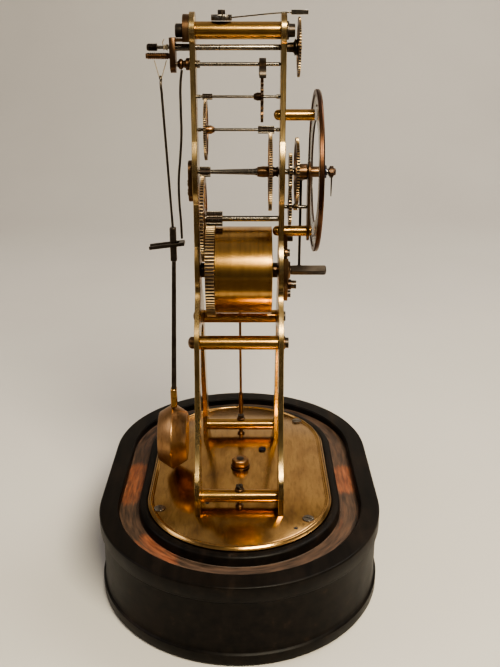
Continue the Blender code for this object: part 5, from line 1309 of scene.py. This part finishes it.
def make_bezel():
    """The spun bezel round the dial, with a groove and a knurled rear edge."""
    lo, hi = box("dial_bezel")
    ring_low, ring_high = box("dial_ring")
    radius, rim, ribs = (hi.z - lo.z) / 2, (ring_high.z - ring_low.z) / 2, 160
    front, rear, lip = lo.y, hi.y, ring_high.y + 0.05
    profile = [
        (rim + 0.1, front + 0.2), (rim + 0.5, front), (radius - 0.6, front), (radius - 0.1, front + 0.6),
        (radius, front + 1.0), (radius, front + 1.25),
        (radius - 0.35, front + 1.35), (radius - 0.35, front + 1.75),
        (radius, front + 1.85), (radius, rear - 0.3), (radius - 0.3, rear),
        (rim - 1.0, rear), (rim - 1.0, lip), (rim + 0.1, lip),
    ]
    mesh = turned(profile, z=CENTRE_Z, steps=2 * ribs, chamfer=0.0)
    centre = Vector((0.0, 0.0, CENTRE_Z)) * MM
    for point in mesh.vertices:
        across, place, up = (point.co - centre) / MM
        away, rib = math.hypot(across, up), math.atan2(up, across) * ribs / math.pi - 0.5
        if away > radius - 0.2 and place > front + 1.8 and round(rib) % 2:
            share = (radius - 0.45) / away
            point.co = centre + Vector((across * share, place, up * share)) * MM
    piece("dial_bezel_spun", mesh, BEZEL_BRASS, "frame", "dial_bezel")


def make_numerals():
    """Generic roman hours between two rings, and a minute track of fine ticks."""
    face, rim = low("dial_ring").y, (high("dial_ring").z - low("dial_ring").z) / 2
    sunk, proud = face + 0.28, 0.36
    foot, height = DIAL_INNER + 3.0, 7.4
    track_inner, track_outer = rim - 2.9, rim - 1.3

    def hours(work):
        for hour, text in enumerate(NUMERALS):
            turn = Matrix.Rotation(-math.radians(30.0 * hour), 2)
            across = -sum(GLYPH_WIDTH[letter] for letter in text) / 2
            for letter in text:
                middle_x = across + GLYPH_WIDTH[letter] / 2
                for start, end, thickness in glyph_strokes(letter):
                    ends = [turn @ Vector((middle_x + x, foot + height * up)) for x, up in (start, end)]
                    stroke(work, *ends, thickness, sunk, proud)
                across += GLYPH_WIDTH[letter]

    def minutes(work):
        for minute in range(60):
            turn = Matrix.Rotation(-math.radians(6.0 * minute), 2)
            width = 0.22 if minute % 5 else 0.55
            ends = [turn @ Vector((0.0, radius)) for radius in (track_inner, track_outer)]
            stroke(work, *ends, width, sunk + 0.1, proud)

    piece("dial_hours", meshed(hours), BLACK_ENAMEL_AND_HOLE_SHADE, "frame")
    piece("dial_minutes", meshed(minutes), BLACK_ENAMEL_AND_HOLE_SHADE, "frame")
    half, top = 0.09, face - 0.06
    for name, radius in (("inner", track_inner), ("outer", track_outer), ("hour", DIAL_INNER + 2.2)):
        line = [(radius - half, sunk), (radius - half, top), (radius + half, top), (radius + half, sunk)]
        piece(f"dial_{name}_line", turned(line, z=CENTRE_Z, steps=144, chamfer=0.0), BLACK_ENAMEL_AND_HOLE_SHADE, "frame")


def make_dial_pillars():
    """The two pillars that carry the dial, each with a domed nut behind the front plate."""
    tenon, nut, gap = 1.5, 3.2, 0.05
    for name in ("upper_dial_pillar", "lower_dial_pillar"):
        lo, hi = box(name)
        radius, start = (hi.z - lo.z) / 2, FRONT_IN + 1.0
        profile = [
            (0.0, lo.y), (radius, lo.y), (radius, FRONT_OUT - gap), (tenon, FRONT_OUT - gap),
            (tenon, FRONT_IN + gap), (nut, FRONT_IN + gap), *dome(nut, start, hi.y - start), (0.0, hi.y),
        ]
        mesh = turned(profile, z=middle(name).z, steps=48, chamfer=0.1)
        piece(f"{name}_turned", mesh, TURNED_BRASS, "frame", name)


def hand_outline(length, stem, tail, degrees):
    """A slender leaf-shaped hand with a ring round its pipe, turned clockwise from twelve."""
    half = [(stem, length * 0.40), (stem * 1.3, length * 0.46), (1.7, length * 0.53), (2.1, length * 0.60)]
    half += [(1.8, length * 0.68), (1.1, length * 0.78), (0.5, length * 0.88)]
    half += [(0.25, length * 0.97), (0.0, length)]
    side = math.degrees(math.asin(stem / tail))
    ring = arc(tail, 90.0 + side, 450.0 - side, 40)
    upright = ring + half + [(-across, up) for across, up in reversed(half[:-1])]
    return [tuple(Matrix.Rotation(-math.radians(degrees), 2) @ Vector(point)) for point in upright]


def make_hands():
    """The hour and minute hands, and the nut and taper pin that hold them."""
    minutes = 3 * 60 + 14
    for name, length, tail, pipe, degrees, body in (
        ("hour_hand", 29.0, 5.2, 3.35, minutes * 0.5, "hour"),
        ("minute_hand", 43.0, 4.0, 2.15, minutes * 6.0 % 360.0, "centre"),
    ):
        loops = [hand_outline(length, 0.62, tail, degrees), circle(pipe, 32)]
        mesh = cut_sheet(loops, (low(name).y, high(name).y), 0.15, z=CENTRE_Z)
        piece(f"{name}_filed", mesh, BLUED_STEEL, body, name)
    lo, hi = box("hand_nut")
    radius, lobes, bore = (hi.z - lo.z) / 2, 8, 1.3
    boss = [(bore, lo.y), (1.9, lo.y), (2.4, lo.y + 1.2), (2.6, hi.y - 0.3), (bore, hi.y)]
    piece("hand_nut_boss", turned(boss, z=CENTRE_Z, steps=40), DARK_BRASS, "centre", "hand_nut")
    edge = [polar(radius - (0.6 if step % 2 else 0.0), 180.0 * step / lobes) for step in range(2 * lobes)]
    mesh = cut_sheet([edge, circle(2.3, 24)], (lo.y + 1.4, hi.y - 0.9), z=CENTRE_Z)
    piece("hand_nut_knurl", mesh, DARK_BRASS, "centre")
    tip, head = CENTRE_Z - 15.4, CENTRE_Z - 2.5
    taper = [(0.0, tip), (0.3, tip + 0.2), (0.6, head), (0.0, head)]
    pin = turned(taper, along="Z", y=lo.y + 2.4, steps=24, chamfer=0.0)
    piece("hand_taper_pin", pin, DARK_STEEL, "centre")


# ---------------------------------------------------------------- stage, light and camera, in metres


def stage_sheet(name, faces, stops, roughness):
    """A sheet that isn't part of the clock. stops colour it faintly unevenly."""
    work = bmesh.new()
    for corners in faces:
        work.faces.new([work.verts.new(corner) for corner in corners])
    bmesh.ops.remove_doubles(work, verts=work.verts, dist=1e-6)
    mesh = bpy.data.meshes.new(name)
    work.to_mesh(mesh)
    work.free()
    made = Nodes(name)
    made.link(made.ramp(made.noise(3.0, 3.0), stops), made.shader.inputs["Base Color"])
    made.shader.inputs["Roughness"].default_value = roughness
    mesh.materials.append(made.material)
    sheet = bpy.data.objects.new(name, mesh)
    bpy.context.scene.collection.objects.link(sheet)
    return sheet, made.shader


def make_stage():
    """A pale floor that sweeps up into a plain backdrop beyond the clock."""
    half, far, height, bend, steps, level = 4.0, 1.7, 2.4, 0.7, 12, -0.0005
    sweep = arc(bend, -90.0, 0.0, steps, (far - bend, bend))
    side = [(-half, 0.0), *sweep, (far, height)]
    faces = []
    for (x, z), (next_x, next_z) in zip(side, side[1:]):
        near, next_near = (x, -half, z + level), (next_x, -half, next_z + level)
        faces.append((near, next_near, (next_x, half, next_z + level), (x, half, z + level)))
    stops = [(0.3, (0.59, 0.555, 0.515)), (0.7, (0.62, 0.585, 0.545))]
    floor, shader = stage_sheet("studio_floor", faces, stops, 0.95)
    floor.data.shade_smooth()
    shader.inputs["Specular IOR Level"].default_value = 0.1


def make_card():
    """A black card on the floor, out of sight, that only darkens what bright metal reflects from below."""
    near, far, half, level = -1.5, -0.24, 0.9, 0.0004
    corners = ((near, -half, level), (far, -half, level), (far, half, level), (near, half, level))
    stops = [(0.3, (0.030, 0.022, 0.018)), (0.7, (0.040, 0.030, 0.024))]
    card, _ = stage_sheet("black_card", [corners], stops, 0.9)
    card.visible_camera = False
    card.visible_diffuse = False
    card.visible_shadow = False


def area_light(name, place, target, size, power, colour):
    light = bpy.data.lights.new(name, "AREA")
    light.shape = "RECTANGLE"
    light.size, light.size_y = size
    light.energy = power
    light.color = colour
    made = bpy.data.objects.new(name, light)
    made.location = place
    made.rotation_euler = (Vector(target) - Vector(place)).to_track_quat("-Z", "Y").to_euler()
    bpy.context.scene.collection.objects.link(made)


def make_lights():
    """A warm key light on the dial's side, a weak fill, a backdrop light and a world with a dark side."""
    target = (0.0, 0.0, 0.22)
    area_light("key_light", (-0.88, -0.38, 1.02), target, (0.60, 0.30), 27.0, (1.0, 0.915, 0.70))
    area_light("fill_light", (-0.2, 1.3, 0.9), target, (0.7, 0.7), 4.0, (0.98, 0.97, 1.0))
    area_light("back_light", (0.5, -0.9, 1.5), (0.9, 0.0, 0.2), (0.9, 0.9), 16.0, (1.0, 0.95, 0.88))
    world = bpy.data.worlds.new("studio_world")
    world.use_nodes = True
    tree = world.node_tree
    place = tree.nodes.new("ShaderNodeTexCoord").outputs["Generated"]
    split = tree.nodes.new("ShaderNodeSeparateXYZ")
    tree.links.new(place, split.inputs["Vector"])
    spread = tree.nodes.new("ShaderNodeMapRange")
    spread.inputs["From Min"].default_value = -0.8
    spread.inputs["From Max"].default_value = 0.9
    tree.links.new(split.outputs["X"], spread.inputs["Value"])
    ramp = tree.nodes.new("ShaderNodeValToRGB")
    ramp.color_ramp.elements[0].color = (0.055, 0.050, 0.045, 1.0)
    ramp.color_ramp.elements[1].color = (0.52, 0.49, 0.47, 1.0)
    tree.links.new(spread.outputs["Result"], ramp.inputs["Fac"])
    tree.links.new(ramp.outputs["Color"], tree.nodes["Background"].inputs["Color"])
    bpy.context.scene.world = world


def make_camera():
    """The camera at the viewing angle, with a little more contrast than the plain view."""
    bpy.context.scene.view_settings.look = "AgX - Medium High Contrast"
    camera = bpy.data.cameras.new("photo_camera")
    camera.sensor_fit = "VERTICAL"
    camera.sensor_height = 36.0
    camera.lens = 43.72
    camera.clip_start = 0.01
    made = bpy.data.objects.new("photo_camera", camera)
    made.location = (-0.505, -0.0069, 0.355)
    pitch_down = math.radians(21.0)
    made.rotation_euler = (math.pi / 2 - pitch_down, 0.0, -math.pi / 2)
    bpy.context.scene.collection.objects.link(made)
    bpy.context.scene.camera = made


make_camera()
make_stage()
make_card()
make_lights()
make_base()
make_platform()
make_platform_screws()
make_platform_nut()
make_frame()
make_top_nuts()
make_stay_rod()
make_rear_end_plate()
make_barrel()
make_winding()
make_click()
make_intermediate()
make_centre()
make_fourth()
make_escape()
make_crutch()
make_suspension()
make_rating()
make_silk_winding()
make_detent()
make_pendulum()
make_bob()
make_motion_work()
make_motion_bridge()
make_dial()
make_bezel()
make_dial_rivets()
make_numerals()
make_dial_pillars()
make_hands()
